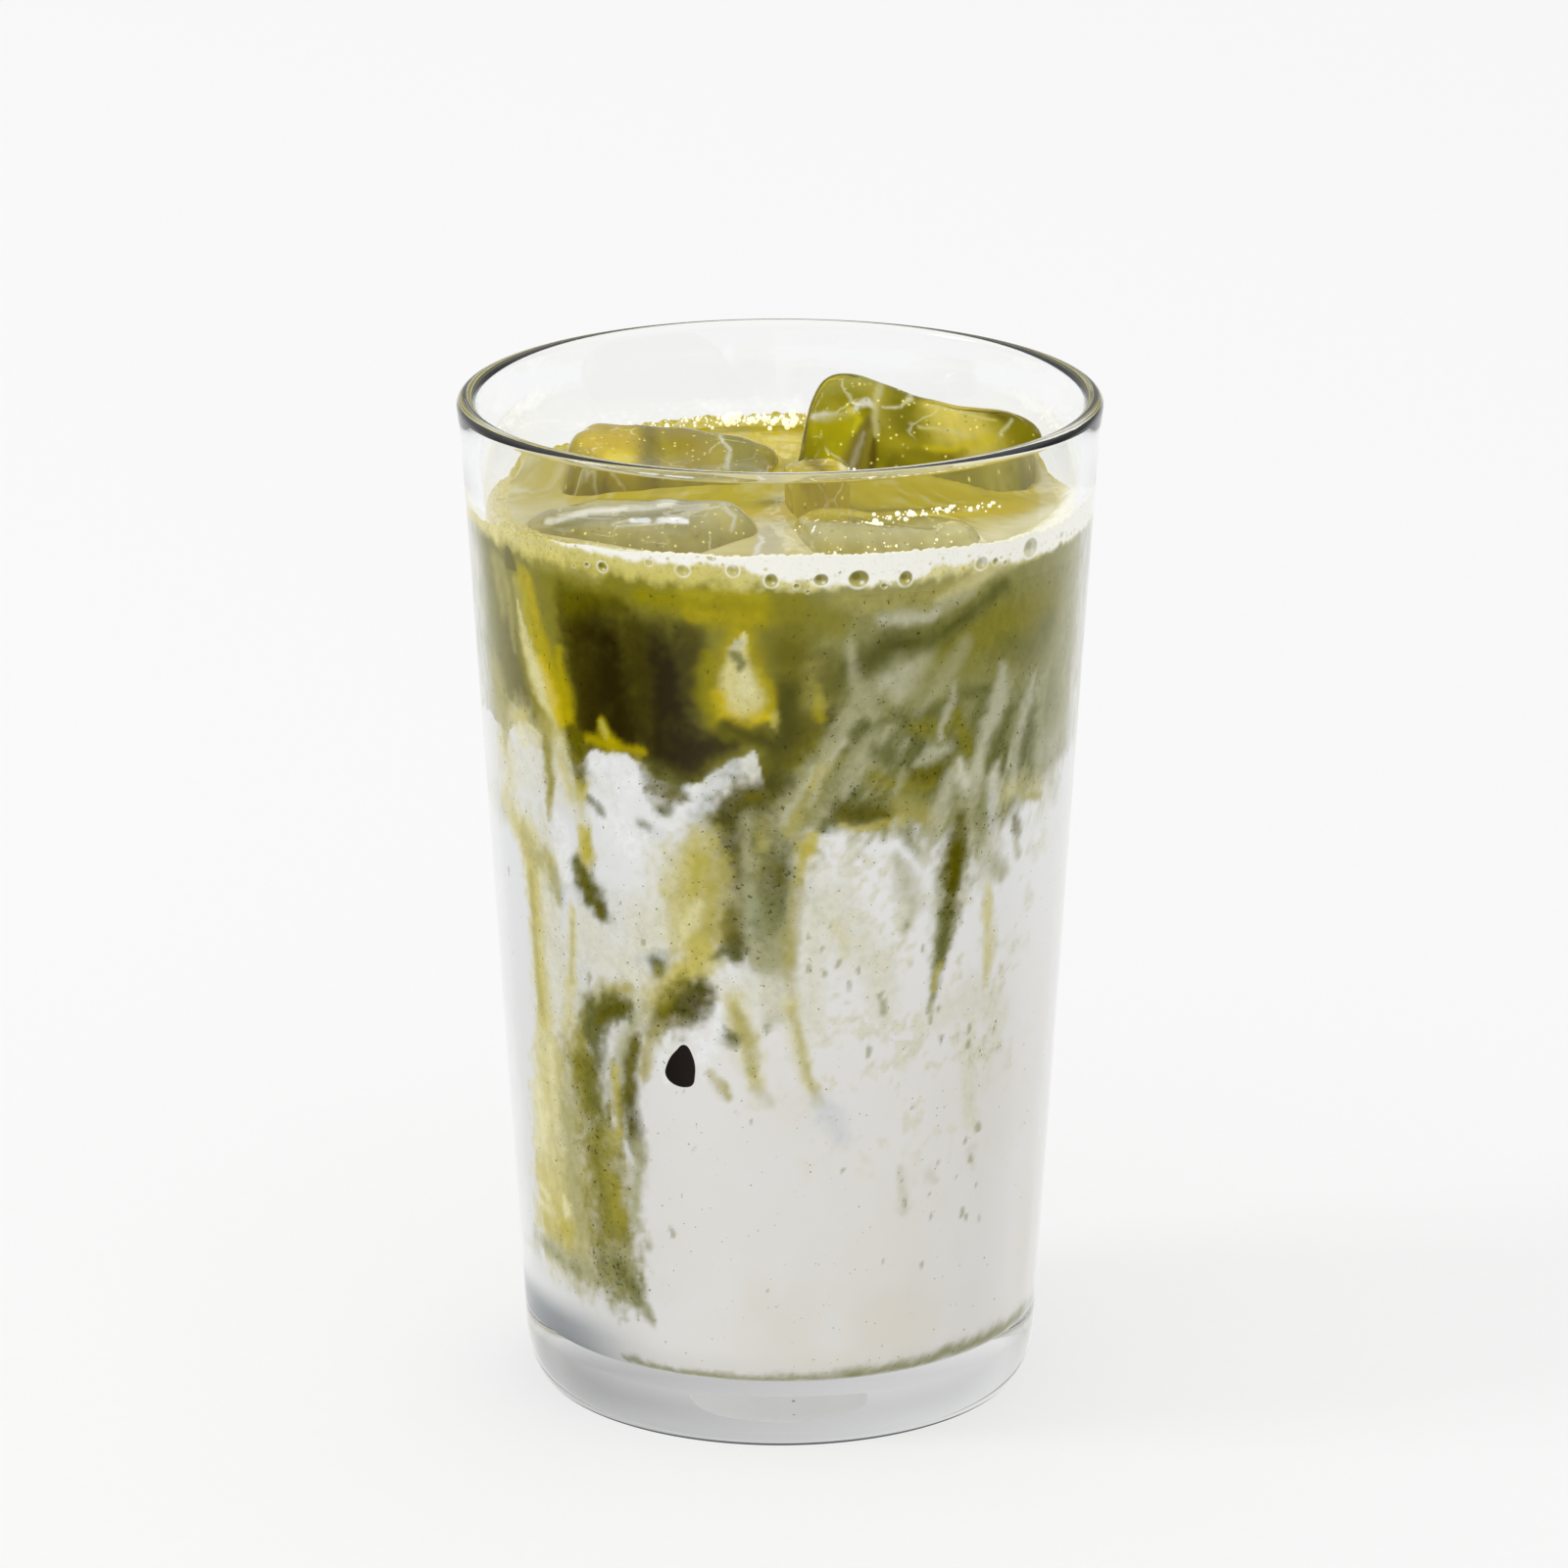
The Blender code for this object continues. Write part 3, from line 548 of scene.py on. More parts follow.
    ("sageDark", 1, 0.8, ((50, 98, 0.7), (48, 95, 1), (46, 92.4, 1.1), (45, 90, 0.6))),
    ("sageDark", 0.9, 0.65, ((49, 92.6, 0.6), (48.6, 89.4, 0.7))),
    ("sageDark", 1, 0.8, ((58.4, 96, 0.8), (56.6, 93, 1.4), (54.6, 90.4, 0.9))),
    ("sagePale", 1, 0.7, ((60, 95, 1), (61, 88, 1.2))),
    ("paleTea", 1, 0.6, ((50, 86, 1), (56, 86.4, 1.6), (62, 85, 1.4))),
    ("khaki", 0.9, 0.8, ((57, 84.6, 0.5), (59.4, 84.4, 0.7), (63, 83.8, 0.6))),
    ("hazeBlueAndShade", 1, 0.5, ((46, 86.4, 0.5), (46.6, 82, 0.6))),
    ("sage", 0.9, 0.8, ((43.6, 85.6, 0.9), (43, 81.6, 0.9), (42.6, 78.6, 0.5))),
    ("sagePale", 1, 0.8, ((42, 81, 1.6), (46, 78, 2), (50, 75.4, 1.2))),
    ("mist", 1, 0.7, ((66, 90, 2.4), (68, 84, 2))),
)
streaks = (
    # the broad stained band down the left
    ("mist", 1, 0.8, ((-84, 82, 2.4), (-74, 81, 2), (-68, 80.6, 1.6))),
    ("paleTea", 1, 0.95, ((-70, 82.4, 1.4), (-65, 80, 2.4), (-58, 78, 3.2), (-53, 76, 2.4))),
    ("paleTea", 0.6, 0.95, ((-63, 79, 1.8), (-59, 74, 2.4), (-58.4, 67, 2), (-58.4, 60, 2.2),
                            (-58.4, 53, 2.4),
                            (-58.4, 48, 3))),
    ("beige", 1, 0.9, ((-54, 72, 1.8), (-53, 61, 2.8), (-51, 54, 2.8))),
    ("straw", 0.9, 0.85, ((-66, 80.4, 0.9), (-61.6, 77, 1.3), (-59.8, 72, 1.4), (-59.8, 64, 1.2),
                          (-59, 57, 1.3), (-59, 50, 1.3))),
    ("khaki", 1, 0.8, ((-62, 79, 0.9), (-58.6, 76.4, 1.7), (-55.6, 77, 1.3))),
    ("khaki", 0.9, 0.7, ((-60.4, 73, 0.6), (-60.6, 64, 0.5), (-60, 55, 0.6))),
    ("khaki", 1, 0.8, ((-53, 77, 1), (-51.6, 73.4, 1.2), (-50.8, 71, 0.7))),
    ("sagePale", 1, 0.7, ((-52, 75.6, 0.8), (-51, 72, 0.9))),
    ("hazeBlueAndShade", 1, 0.6, ((-49, 73.6, 0.6), (-49.4, 71, 0.5))),
    ("milkBright", 0.9, 0.9, ((-49, 82, 1.3), (-48.4, 78.4, 1.5), (-48.6, 75.4, 0.9))),
    ("beige", 1, 0.8, ((-42, 68, 3), (-32, 64, 2.8), (-27, 72, 1.8))),
    ("paleTea", 0.9, 0.85, ((-46.6, 71, 0.6), (-47.6, 66, 1), (-49, 60, 1), (-50.6, 54.6, 1.2))),
    ("khaki", 0.9, 0.4, ((-47.2, 69, 0.4), (-48.8, 61, 0.5))),
    ("paleTea", 0.5, 1, ((-57.6, 49, 3.6), (-58.4, 42, 5.2), (-58.6, 34, 5.9), (-58.6, 25, 6.2))),
    ("straw", 1, 0.4, ((-60, 45, 2.6), (-60, 34, 4), (-60, 25, 4.6))),
    ("khaki", 0.9, 0.85, ((-50, 51, 2.4), (-49.6, 42, 3.4), (-49, 32, 4), (-48, 23, 4.4))),
    ("sagePale", 1, 0.5, ((-52, 44, 1.4), (-51.6, 34, 1.8), (-51, 26, 1.8))),
    ("foamPale", 1, 0.6, ((-64, 44, 1.4), (-63, 37, 1.6), (-60, 41, 0.9))),
    ("foamPale", 1, 0.5, ((-57, 50, 0.8), (-56.6, 42, 0.9), (-55, 36, 0.8))),
    ("straw", 1, 0.85, ((-65.4, 32, 1.4), (-62, 27, 2.8), (-57, 26, 2.6))),
    ("yellow", 1, 0.5, ((-65, 25, 0.9), (-61, 24, 1.3), (-56, 25, 1.3))),
    ("khaki", 1, 0.5, ((-66, 22.6, 0.9), (-58, 22.6, 1.2))),
    ("foamPale", 0.8, 0.9, ((-55.4, 29.4, 0.5), (-54.8, 28.2, 1), (-55.4, 27.2, 0.5))),
    ("foamPale", 0.9, 0.7, ((-65.4, 29.8, 0.6), (-62.6, 28.8, 0.7))),
    ("foamPale", 0.9, 0.6, ((-67, 27, 0.6), (-60.6, 26.8, 0.6))),
    ("foamPale", 0.9, 0.5, ((-68, 36, 0.5), (-65, 35.4, 0.5))),
    ("sagePale", 1, 0.95, ((-72, 21.4, 0.9), (-64, 21.4, 1.3), (-56, 20.6, 1.5), (-48, 20.8, 1.8))),
    ("sage", 1, 0.6, ((-66, 21, 0.6), (-58, 20.2, 0.9), (-52, 19.8, 0.9))),
    ("mist", 1, 0.8, ((-56, 18.4, 0.9), (-52.6, 17.2, 0.8))),
    ("mist", 1, 0.8, ((-80, 19.2, 0.7), (-70, 20, 0.9))),
    # the stripe with a dark foot
    ("straw", 0.8, 0.95, ((-42.6, 82, 1), (-42.4, 79, 1.2), (-43.4, 77, 1.3))),
    ("yellow", 1, 0.6, ((-41.6, 81, 0.6), (-41.8, 78.6, 0.7))),
    ("sageDark", 0.7, 1, ((-45, 77.4, 1.1), (-43, 75.4, 1.7), (-40.6, 73.4, 1.7), (-38.2, 71.4, 1.4))),
    ("moss", 1, 0.7, ((-43.6, 76, 0.8), (-38.6, 71.8, 0.9))),
    ("hazeBlueAndShade", 1, 0.6, ((-28.6, 66, 1.2), (-26, 64, 1.2), (-23.6, 67, 1))),
    ("teal", 0.9, 1, ((-26.2, 66.2, 1.3), (-25.4, 65.2, 1.4))),
    ("moss", 1, 0.5, ((-26, 66, 0.6), (-25.6, 65.4, 0.7))),
    # above the grain
    ("straw", 1, 0.9, ((-18.6, 66.4, 2), (-23, 63, 2.4), (-27, 59.4, 2.2))),
    ("moss", 0.8, 1, ((-16.6, 63.2, 1.7), (-18, 61.8, 2.6), (-21.4, 60.4, 2.6), (-24.6, 58.6, 2),
                        (-27.4, 56.8, 1.4))),
    ("pine", 0.9, 0.85, ((-16.8, 63, 1.3), (-17.8, 61.8, 1.8), (-21, 60.6, 1.2))),
    ("olive", 1, 0.6, ((-23, 61.6, 0.8), (-25.6, 59.6, 0.8))),
    ("khaki", 1, 0.8, ((-27, 56.6, 1.1), (-29.4, 54, 1), (-30, 50.6, 0.7))),
    ("sagePale", 1, 0.9, ((-30, 59.4, 1.3), (-33.6, 55.4, 1.6), (-36.6, 50, 1.4), (-37, 45, 1.2))),
    # painted light: a pale halo on each side of the grain
    ("milkBright", 0.7, 0.9, ((-24, 56.4, 0.4), (-25.4, 53, 0.7), (-24.8, 50, 0.6))),
    ("milkBright", 0.7, 0.9, ((-18.6, 57, 0.4), (-16.4, 55.4, 0.9), (-16.6, 51.6, 0.8))),
    # the hook and the wide olive band under it
    ("khaki", 1, 0.9, ((-33, 61.6, 1), (-38, 60.6, 1.7), (-44, 57, 2.2), (-47, 52, 2))),
    ("olive", 1, 0.6, ((-45.6, 55, 1.4), (-46.6, 50, 1.8), (-44.6, 45, 2))),
    ("sageDark", 0.8, 0.95, ((-34.2, 59.4, 1.2), (-38, 58.8, 1.6), (-42, 57.2, 2.2), (-43, 54.6, 2),
                             (-41.4, 51.4, 1.5))),
    ("moss", 0.9, 0.8, ((-34.2, 59.4, 1), (-37.6, 58.6, 1.2), (-41, 56.6, 0.8))),
    ("pine", 1, 0.4, ((-35.4, 58.8, 0.5), (-39.6, 57.8, 0.6))),
    ("olive", 0.9, 0.9, ((-49, 50, 1.3), (-45, 48, 2.8), (-43.4, 43, 2.6), (-42, 39, 2.8))),
    ("sageDark", 1, 0.6, ((-44, 48, 1.2), (-43, 44, 1.2))),
    ("moss", 1, 0.5, ((-46.4, 50, 1), (-42, 49.6, 1))),
    ("olive", 0.6, 0.95, ((-41.4, 40, 3), (-40.4, 33, 3.8), (-40, 26, 4), (-39.6, 21.4, 4))),
    ("khaki", 1, 0.4, ((-43, 38, 1.6), (-42, 30, 2), (-41, 24, 2))),
    ("yellow", 1, 0.28, ((-38.6, 40, 1.4), (-37.8, 35, 1.8), (-38.6, 30, 1.6))),
    ("straw", 1, 0.6, ((-40, 41, 0.8), (-38.2, 40.4, 0.8))),
    ("sageDark", 1, 0.3, ((-44, 38, 0.9), (-42.6, 32, 1.4), (-42, 27, 1.6))),
    ("sage", 1, 0.85, ((-44, 23, 1.8), (-40, 21.6, 2.4), (-36, 20.4, 1.8), (-32.4, 18, 1.1),
                       (-30, 16, 0.6))),
    ("sageDark", 1, 0.6, ((-39, 23.6, 1.2), (-35, 20.6, 1), (-33, 18.6, 0.6))),
    ("straw", 1, 0.8, ((-37.4, 50.6, 0.7), (-36.6, 46.4, 0.8), (-37, 42, 0.7))),
    ("moss", 0.8, 0.95, ((-32, 54.6, 1), (-33.4, 51, 1.3), (-34.4, 46, 1.5), (-33.6, 42, 1.4),
                         (-32, 38, 1))),
    ("pine", 0.9, 0.5, ((-33.8, 47.4, 0.7), (-33.6, 43, 0.8))),
    ("sagePale", 1, 0.9, ((-32, 40, 1.1), (-33, 35, 1.1), (-34, 30, 0.9))),
    # under and right of the grain
    ("paleTea", 1, 0.9, ((-10, 62, 1.2), (-8, 57.4, 2), (-6.4, 53.6, 1.7), (-5, 51, 1))),
    ("khaki", 1, 0.8, ((-9.4, 60.6, 0.9), (-7.2, 56.6, 1.2), (-6, 52.6, 0.9))),
    ("sageDark", 0.9, 0.9, ((-12, 58.2, 0.7), (-10.8, 57, 1), (-9.6, 56.2, 0.7))),
    ("mist", 1, 0.6, ((-4.6, 50.4, 0.8), (-2.4, 48.6, 0.7))),
    ("milkBright", 0.8, 0.85, ((-14, 55.4, 0.6), (-13, 58.6, 0.7), (-12.6, 61, 0.5))),
    ("khaki", 0.9, 0.8, ((-15.6, 52, 0.5), (-13, 50.4, 0.8), (-11.2, 49, 0.5))),
    ("paleTea", 1, 0.8, ((2, 62, 1.1), (3.6, 57, 1.1), (5.6, 52.4, 0.9), (8.6, 48.4, 0.7))),
    ("khaki", 1, 0.5, ((2.6, 61, 0.6), (4.6, 55, 0.5), (7.6, 49.6, 0.4))),
    ("hazeBlueAndShade", 1, 0.55, ((8.6, 49, 1.2), (11, 45.8, 1.8), (13.6, 43, 1.2))),
    # streaks on the right
    ("sagePale", 1, 0.9, ((39.6, 85.6, 1.7), (37.4, 78, 2.3), (35.6, 72, 2), (34.4, 66, 1.2))),
    ("sage", 0.9, 0.9, ((37.4, 80, 1.5), (36, 72, 1.7), (34.8, 67, 1.1), (33.4, 62, 0.6), (33, 59, 0.45))),
    ("moss", 0.8, 1, ((38.6, 84.6, 0.9), (37.6, 80.6, 1.5), (36.6, 76, 1.4), (36, 72.4, 1))),
    ("pine", 1, 0.5, ((38, 81, 0.7), (36.8, 76, 0.8))),
    ("sageDark", 0.9, 0.85, ((35.8, 73, 1.1), (35.4, 69, 1.1), (34.6, 65.6, 0.7))),
    ("straw", 0.9, 0.6, ((34.4, 65, 0.4), (33.2, 61.6, 0.35))),
    ("paleTea", 0.9, 0.9, ((46.6, 74, 0.7), (47.2, 69, 1), (47.8, 65, 1.1), (47.6, 60.6, 0.7))),
    ("moss", 0.9, 0.8, ((53.6, 82.6, 0.6), (54.2, 81.2, 0.9), (54.8, 80.2, 0.7))),
    ("sagePale", 0.9, 0.7, ((54, 79, 0.6), (55.4, 77.6, 0.7))),
    ("beige", 1, 0.8, ((10, 76, 2.6), (14, 70, 2.8), (20, 66, 2.4), (22, 60, 1.4))),
    ("beige", 1, 0.8, ((6, 74, 1.8), (6.6, 66, 1.6), (8, 58, 1.2))),
    ("paleTea", 1, 0.5, ((11, 73, 0.8), (13, 68, 0.7))),
    ("beige", 1, 0.6, ((34, 58, 1.8), (44, 60, 2.4), (52, 56, 2))),
    ("sagePale", 1, 0.7, ((24, 80, 0.9), (26, 76.4, 1.6), (28, 74, 1.2), (26, 71, 0.8))),
    ("beige", 1, 0.8, ((44, 56, 0.9), (43.4, 48, 1), (45.4, 42, 1))),
    ("mist", 1, 0.45, ((26.6, 38, 0.5), (28.2, 32, 0.9))),
    ("mist", 1, 0.3, ((45.8, 38, 0.9), (46.4, 35.4, 0.6))),
    ("mist", 1, 0.35, ((34.4, 36, 0.9), (36, 35, 0.5))),
)
footShadeLine = (  # painted shade: a dark line at the milk's foot, where it reads dark through the glass's corner
    ("sage", 1, 0.8, ((-40, 9.3, 0.5), (-15, 9, 0.8), (10, 8.9, 1), (18, 9, 1.1))),
    ("sage", 1, 0.85, ((18, 9, 1.1), (45, 9.6, 1.1), (76, 10, 1))),
    ("sage", 1, 0.7, ((76, 10, 1), (110, 9.2, 0.8), (170, 9.6, 1.1), (215, 9.1, 0.7), (262, 9.3, 0.6))),
)
crumbs = (  # single specks of leaf: angle, height, radius
    (-43, 62.4, 0.55), (-29, 69, 0.3), (-13, 64, 0.25), (12, 67, 0.35), (14, 64, 0.3), (19, 54.5, 0.45),
    (21.6, 60.6, 0.6), (20.8, 62, 0.4), (16, 66, 0.35), (-2.4, 58.4, 0.55), (36, 55, 0.35), (47.6, 41, 0.6),
    (44.2, 40, 0.25), (45.8, 36.4, 0.5), (44.6, 36.2, 0.25), (44.6, 29.4, 0.5), (46, 28.6, 0.35),
    (50.4, 28.2, 0.3), (41.4, 34.2, 0.2), (48.4, 32.2, 0.25), (34.6, 33, 0.25), (35.8, 29.8, 0.25),
    (36.4, 37.4, 0.25), (28.2, 33, 0.35), (27.2, 36.4, 0.15), (-24.8, 29.2, 0.45), (24, 25, 0.25),
    (33.6, 24, 0.35), (43.6, 55.2, 0.45), (43.4, 53, 0.4), (50.6, 54.6, 0.3), (-2.4, 22.4, 0.25),
    (-6, 45.4, 0.2), (-19, 41, 0.25), (14, 38.4, 0.2), (8, 69, 0.3), (10.4, 72.4, 0.2), (5.6, 70.6, 0.3),
    (30, 68, 0.3), (26, 71, 0.3), (-70.6, 72, 0.45), (-21, 49.2, 0.2), (33, 57.8, 0.4), (35, 59, 0.35),
    (9, 66, 0.35), (5.4, 66.4, 0.4), (29, 46, 0.2), (-9, 46.6, 0.2),
)


def strokeReach(angle, height, points, scale=drink["mmPerDegree"]):
    # Distance to a line of changing width over that width: the smallest over its legs
    reach = np.full(angle.shape, 9.0)
    for (a0, z0, w0), (a1, z1, w1) in zip(points[:-1], points[1:]):
        dx, dz = (a1 - a0) * scale, z1 - z0
        px, pz = (angle - a0) * scale, height - z0
        along = np.clip((px * dx + pz * dz) / max(dx * dx + dz * dz, 1e-9), 0, 1)
        away = np.hypot(px - along * dx, pz - along * dz) / (w0 + (w1 - w0) * along)
        reach = np.minimum(reach, away)
    return reach


def cover(reach, softness, strength):
    # How much paint a stroke leaves: its strength inside, fading to none between 1 -+ softness half widths
    return strength * (1 - smooth(1 - softness, 1 + softness, reach))


def backStrokes(seed=41):
    # The same kinds of marks, drawn by rule for the wall's far side
    pick = random.Random(seed)
    body, marks, low = [], [], []
    for centre in (98, 121, 156, 171, 207, 239, 261):
        kind = pick.choice(("teaDark", "umber", "sageDark", "umber"))
        wide, lean = pick.uniform(2.6, 6.4), pick.uniform(-4, 12)
        top, foot = pick.uniform(105, 112), pick.uniform(94, 100)
        body += [
            ("moss", 1, 0.9, ((centre - lean, top + 2, wide), (centre + lean, foot, wide * 1.3))),
            (kind, 0.8, 0.9, ((centre - lean * 0.6, top, wide * 0.6), (centre + lean * 0.4, foot, wide))),
            ("sagePale", 1, 0.6, ((centre + 13, 114, 0.8), (centre + 17 - lean, 104, 1.9),
                                  (centre + 12, 96, 1.4))),
            ("sageCool", 1, 0.5, ((centre + 17, 108, 1.2), (centre + 21, 99, 2.4))),
            ("underFoam", 1, 0.8, ((centre - 8, 115.6, 1.2), (centre + 6, 115.4, 1.4))),
        ]
    # painted glow: yellow and pale marks where ice at the back passes light through to the wall
    for centre, wide in ((116, 1.2), (164, 0.6), (202, 0.9), (238, 1.3)):
        lean, top, foot = pick.uniform(-7, 9), pick.uniform(104, 113), pick.uniform(95, 101)
        for name, softness, strength, down, narrow, drift, up, broad in (
                ("yellow", 1, 0.9, 0, 1.8 * wide, 1, 0, 3.0), ("glow", 0.9, 0.95, 1, 1.2 * wide, 1, 0, 2.2),
                ("glowPale", 0.5, 0.9, 2, 0.3, 0.8, 2, 1.3), ("foamPale", 0.9, 0.5, 4, 0.3, 0.7, 3, 0.6)):
            marks.append((name, softness, strength, ((centre, top - down, narrow),
                                                     (centre + lean * drift, foot + up, broad * wide))))
    for _ in range(26):
        start = 92 + 176 * pick.random()
        kind = pick.choice(("olive", "sage", "paleTea", "straw", "moss", "sagePale", "khaki"))
        top, long = pick.uniform(80, 92), pick.uniform(6, 38) * pick.random() + 5
        drift, wide = pick.uniform(-14, 10), pick.uniform(0.5, 2.3)
        line = [(start + drift * aside, top - long * down, wide * share)
                for aside, down, share in ((0, 0, 1), (0.15, 0.35, 1.2), (0.5, 0.7, 0.8), (1, 1, 0.4))]
        low.append(("beige", 1, 0.7, [(a, z, w * 2.2) for a, z, w in line]))
        low.append((kind, 1, pick.uniform(0.45, 0.85), line))
    for centre, drop, aside in ((106, 56, -10), (188, 66, 9), (246, 48, -7)):
        def along(t, aside=aside, centre=centre):
            # a slow bend to one side with a ripple in it
            return centre + aside * t * t + 2.0 * math.sin(5 * t + centre)

        low.append(("beige", 1, 0.7, [(along(t), 90 - drop * t, 3.0 + 3.0 * t) for t in (0, 0.35, 0.7, 1)]))
        for _ in range(13):
            kind = pick.choice(("paleTea", "paleTea", "straw", "olive", "sage", "khaki", "sageDark",
                                "straw"))
            first, last = sorted((pick.uniform(0, 0.7), pick.uniform(0.3, 1.08)))
            last = max(last, first + 0.18)
            off, wide = pick.gauss(0, 4.2), pick.uniform(0.5, 1.7)
            line = []
            for share in (0, 0.4, 0.8, 1):
                t = first + share * (last - first)
                line.append((along(t) + off * (1.1 - 0.5 * t), 89 - drop * t,
                             wide * (0.5 + math.sin(math.pi * share))))
            low.append((kind, 1, pick.uniform(0.5, 0.9), line))
    return body, marks, low


def marble(angle, height):
    # Colour and speckle of the drink where it touches the wall, at each angle and height
    turn = np.mod(angle + 90, 360) - 90  # -90 to 270, for what differs between front and back
    side = np.mod(angle + 180, 360) - 180  # -180 to 180, for what differs between left and right
    u = turn * drink["mmPerDegree"]

    def uneven(size, seed, octaves=4, fade=0.5, z=height):
        # billows that close round the glass
        return billow(u, z, size, seed, loopLength, octaves, fade)

    a = turn + (0.45 * uneven(7, 3) + 0.5 * uneven(1.8, 15, 3, 0.65)) / drink["mmPerDegree"]
    z = height + 0.6 * uneven(7, 9) + 0.75 * uneven(1.8, 21, 3, 0.65)
    fray, grit = uneven(1.1, 25, 2, 0.7), uneven(0.7, 29, 1)
    threads = uneven(0.9, 27, 2, 0.7, height / 3)
    broad, blotch = uneven(16, 37), uneven(3.2, 39, 3)
    lean = np.interp(turn, (0, 10, 30, 50, 80, 100, 260), (1.0, 0.85, 0.5, 0.3, 0.0, 0.25, -0.2))
    wisps = billow(u - (height - 90) * lean, height / 4.5, 2.0, 31, loopLength, 4, 0.6)
    stained = smooth(26, 40, height) * smooth(0.1, 0.6, broad + 0.5 * blotch) \
        * np.maximum(smooth(-64, -50, side), smooth(-108, -130, side))
    mottled = smooth(30, 50, height) * smooth(-4, 12, side) * smooth(68, 52, side) \
        * smooth(0.15, 0.6, blotch + 0.6 * fray - 0.15 * broad)
    # tea above its edge, which is sharp at the front left and loose to the right and at the back
    knots = np.array(frontEdge, float)
    beyond = smooth(80, 98, np.abs(side))
    edge = np.interp(side + a - turn, knots[:, 0], knots[:, 1]) * (1 - beyond) \
        + (88 + 5 * uneven(22, 43, 2, z=height * 0)) * beyond
    right = smooth(2, 12, a) * smooth(100, 96, a)
    back = smooth(92, 108, turn) * smooth(268, 252, turn)
    loose = np.maximum(right, back)
    blur = 0.35 + 1.7 * loose
    tea = smooth(-blur, blur, z - edge + loose * 2.4 * wisps + 0.35 * fray)
    misty = np.maximum(right, 0.8 * back) * smooth(78, 84, height) * smooth(106, 99, height)
    colour = np.tile(tone["milk"], (len(a), 1))
    for name, share in (
            ("milkWarm", 0.8 * smooth(-0.4, 0.6, broad) * smooth(70, 20, height)),
            ("milkBright", 0.6 * smooth(46, 80, height)),
            ("beige", 0.5 * stained), ("beige", 0.85 * mottled),
            # painted shade: the milk greyer towards the left of the front
            ("hazeBlueAndShade", 0.5 * smooth(-12, -60, side) * smooth(-120, -84, side)),
            ("sage", tea), ("olive", 0.9 * tea * smooth(10, 3, a) * smooth(-80, -70, a)),
            ("khaki", 0.25 * tea * smooth(97, 104, height) * loose),
            ("olive", 0.5 * tea * back * smooth(98, 104, height)),
            ("sagePale", 0.8 * misty * tea * smooth(0.0, 0.45, wisps)),
            ("mist", 0.6 * misty * smooth(0.22, 0.55, wisps) * smooth(103, 95, height)),
            ("sageDark", 0.7 * misty * tea * smooth(-0.08, -0.45, wisps))):
        colour = lay(colour, tone[name], share)
    # the strokes: 1 for those that stop at the tea's edge, 0 for those below it, 0.5 for marks, frayed least
    farBody, farMarks, farLow = backStrokes()
    specks = tea * (0.25 + 0.35 * loose)
    dusty = ("pine", "moss", "sageDark", "sage", "olive", "teal")
    inTea = [(s, 1) for s in (*teaBody, *farBody)] + [(s, 0.5) for s in (*glowMarks, *farMarks)]
    below = [(s, 0) for s in (*mixing, *streaks, *farLow)] + [(s, 0.5) for s in footShadeLine]
    for (name, softness, strength, points), within in inTea + below:
        ends = [point[0] for point in points]
        middle = (min(ends) + max(ends)) / 2
        local = np.mod(a - middle + 180, 360) - 180 + middle  # so that a stroke may cross any seam
        near = np.abs(local - middle) < (max(ends) - min(ends)) / 2 + 20
        rough = {0: 1, 1: 0.35, 0.5: 0.25}[within]
        reach = strokeReach(local[near], z[near], points) * (1 + rough * 0.28 * fray[near]) \
            + rough * (0.2 * threads[near] + 0.14 * grit[near])
        mask = cover(reach, softness, strength) * (1 - rough * 0.3 * smooth(-0.1, 0.5, blotch[near]))
        if within == 1:
            mask = mask * tea[near]
        colour[near] = lay(colour[near], tone[name], mask)
        specks[near] = specks[near] * (1 - mask) + mask * (1 if name in dusty and not within else 0.45)
    for angleAt, heightAt, radius in crumbs:
        near = np.abs(turn - angleAt) < 4
        reach = strokeReach(a[near], z[near], ((angleAt, heightAt + radius * 0.5, radius),
                                               (angleAt, heightAt - radius, radius * 0.7)))
        colour[near] = lay(colour[near], tone["sage"], 0.6 * (1 - smooth(0.3, 1.6, reach)))
    # painted reflection: at the sides a pale band, as the glass's edges bend the white surroundings in
    aside = smooth(70, 80, np.abs(side)) * smooth(104, 88, np.abs(side))
    paintedEdgeReflection = 0.62 * aside * (0.8 + 0.5 * np.clip(threads + 0.5 * uneven(7, 3), -1, 0.6))
    colour = lay(colour, tone["milkBright"], paintedEdgeReflection)
    specks = specks * (1 - 0.7 * aside)
    # pale motes in the tea and a fine unevenness everywhere it has spread
    spread = np.clip(specks + tea * 0.3, 0, 1)
    colour = colour * (1 + 0.10 * spread * (fray + 0.6 * threads))[:, None]
    specks = np.clip(np.maximum(specks * (0.75 + 0.5 * blotch), 0.28 * stained + 0.3 * mottled), 0, 1)
    return np.clip(colour, 0.0, 1.0), specks


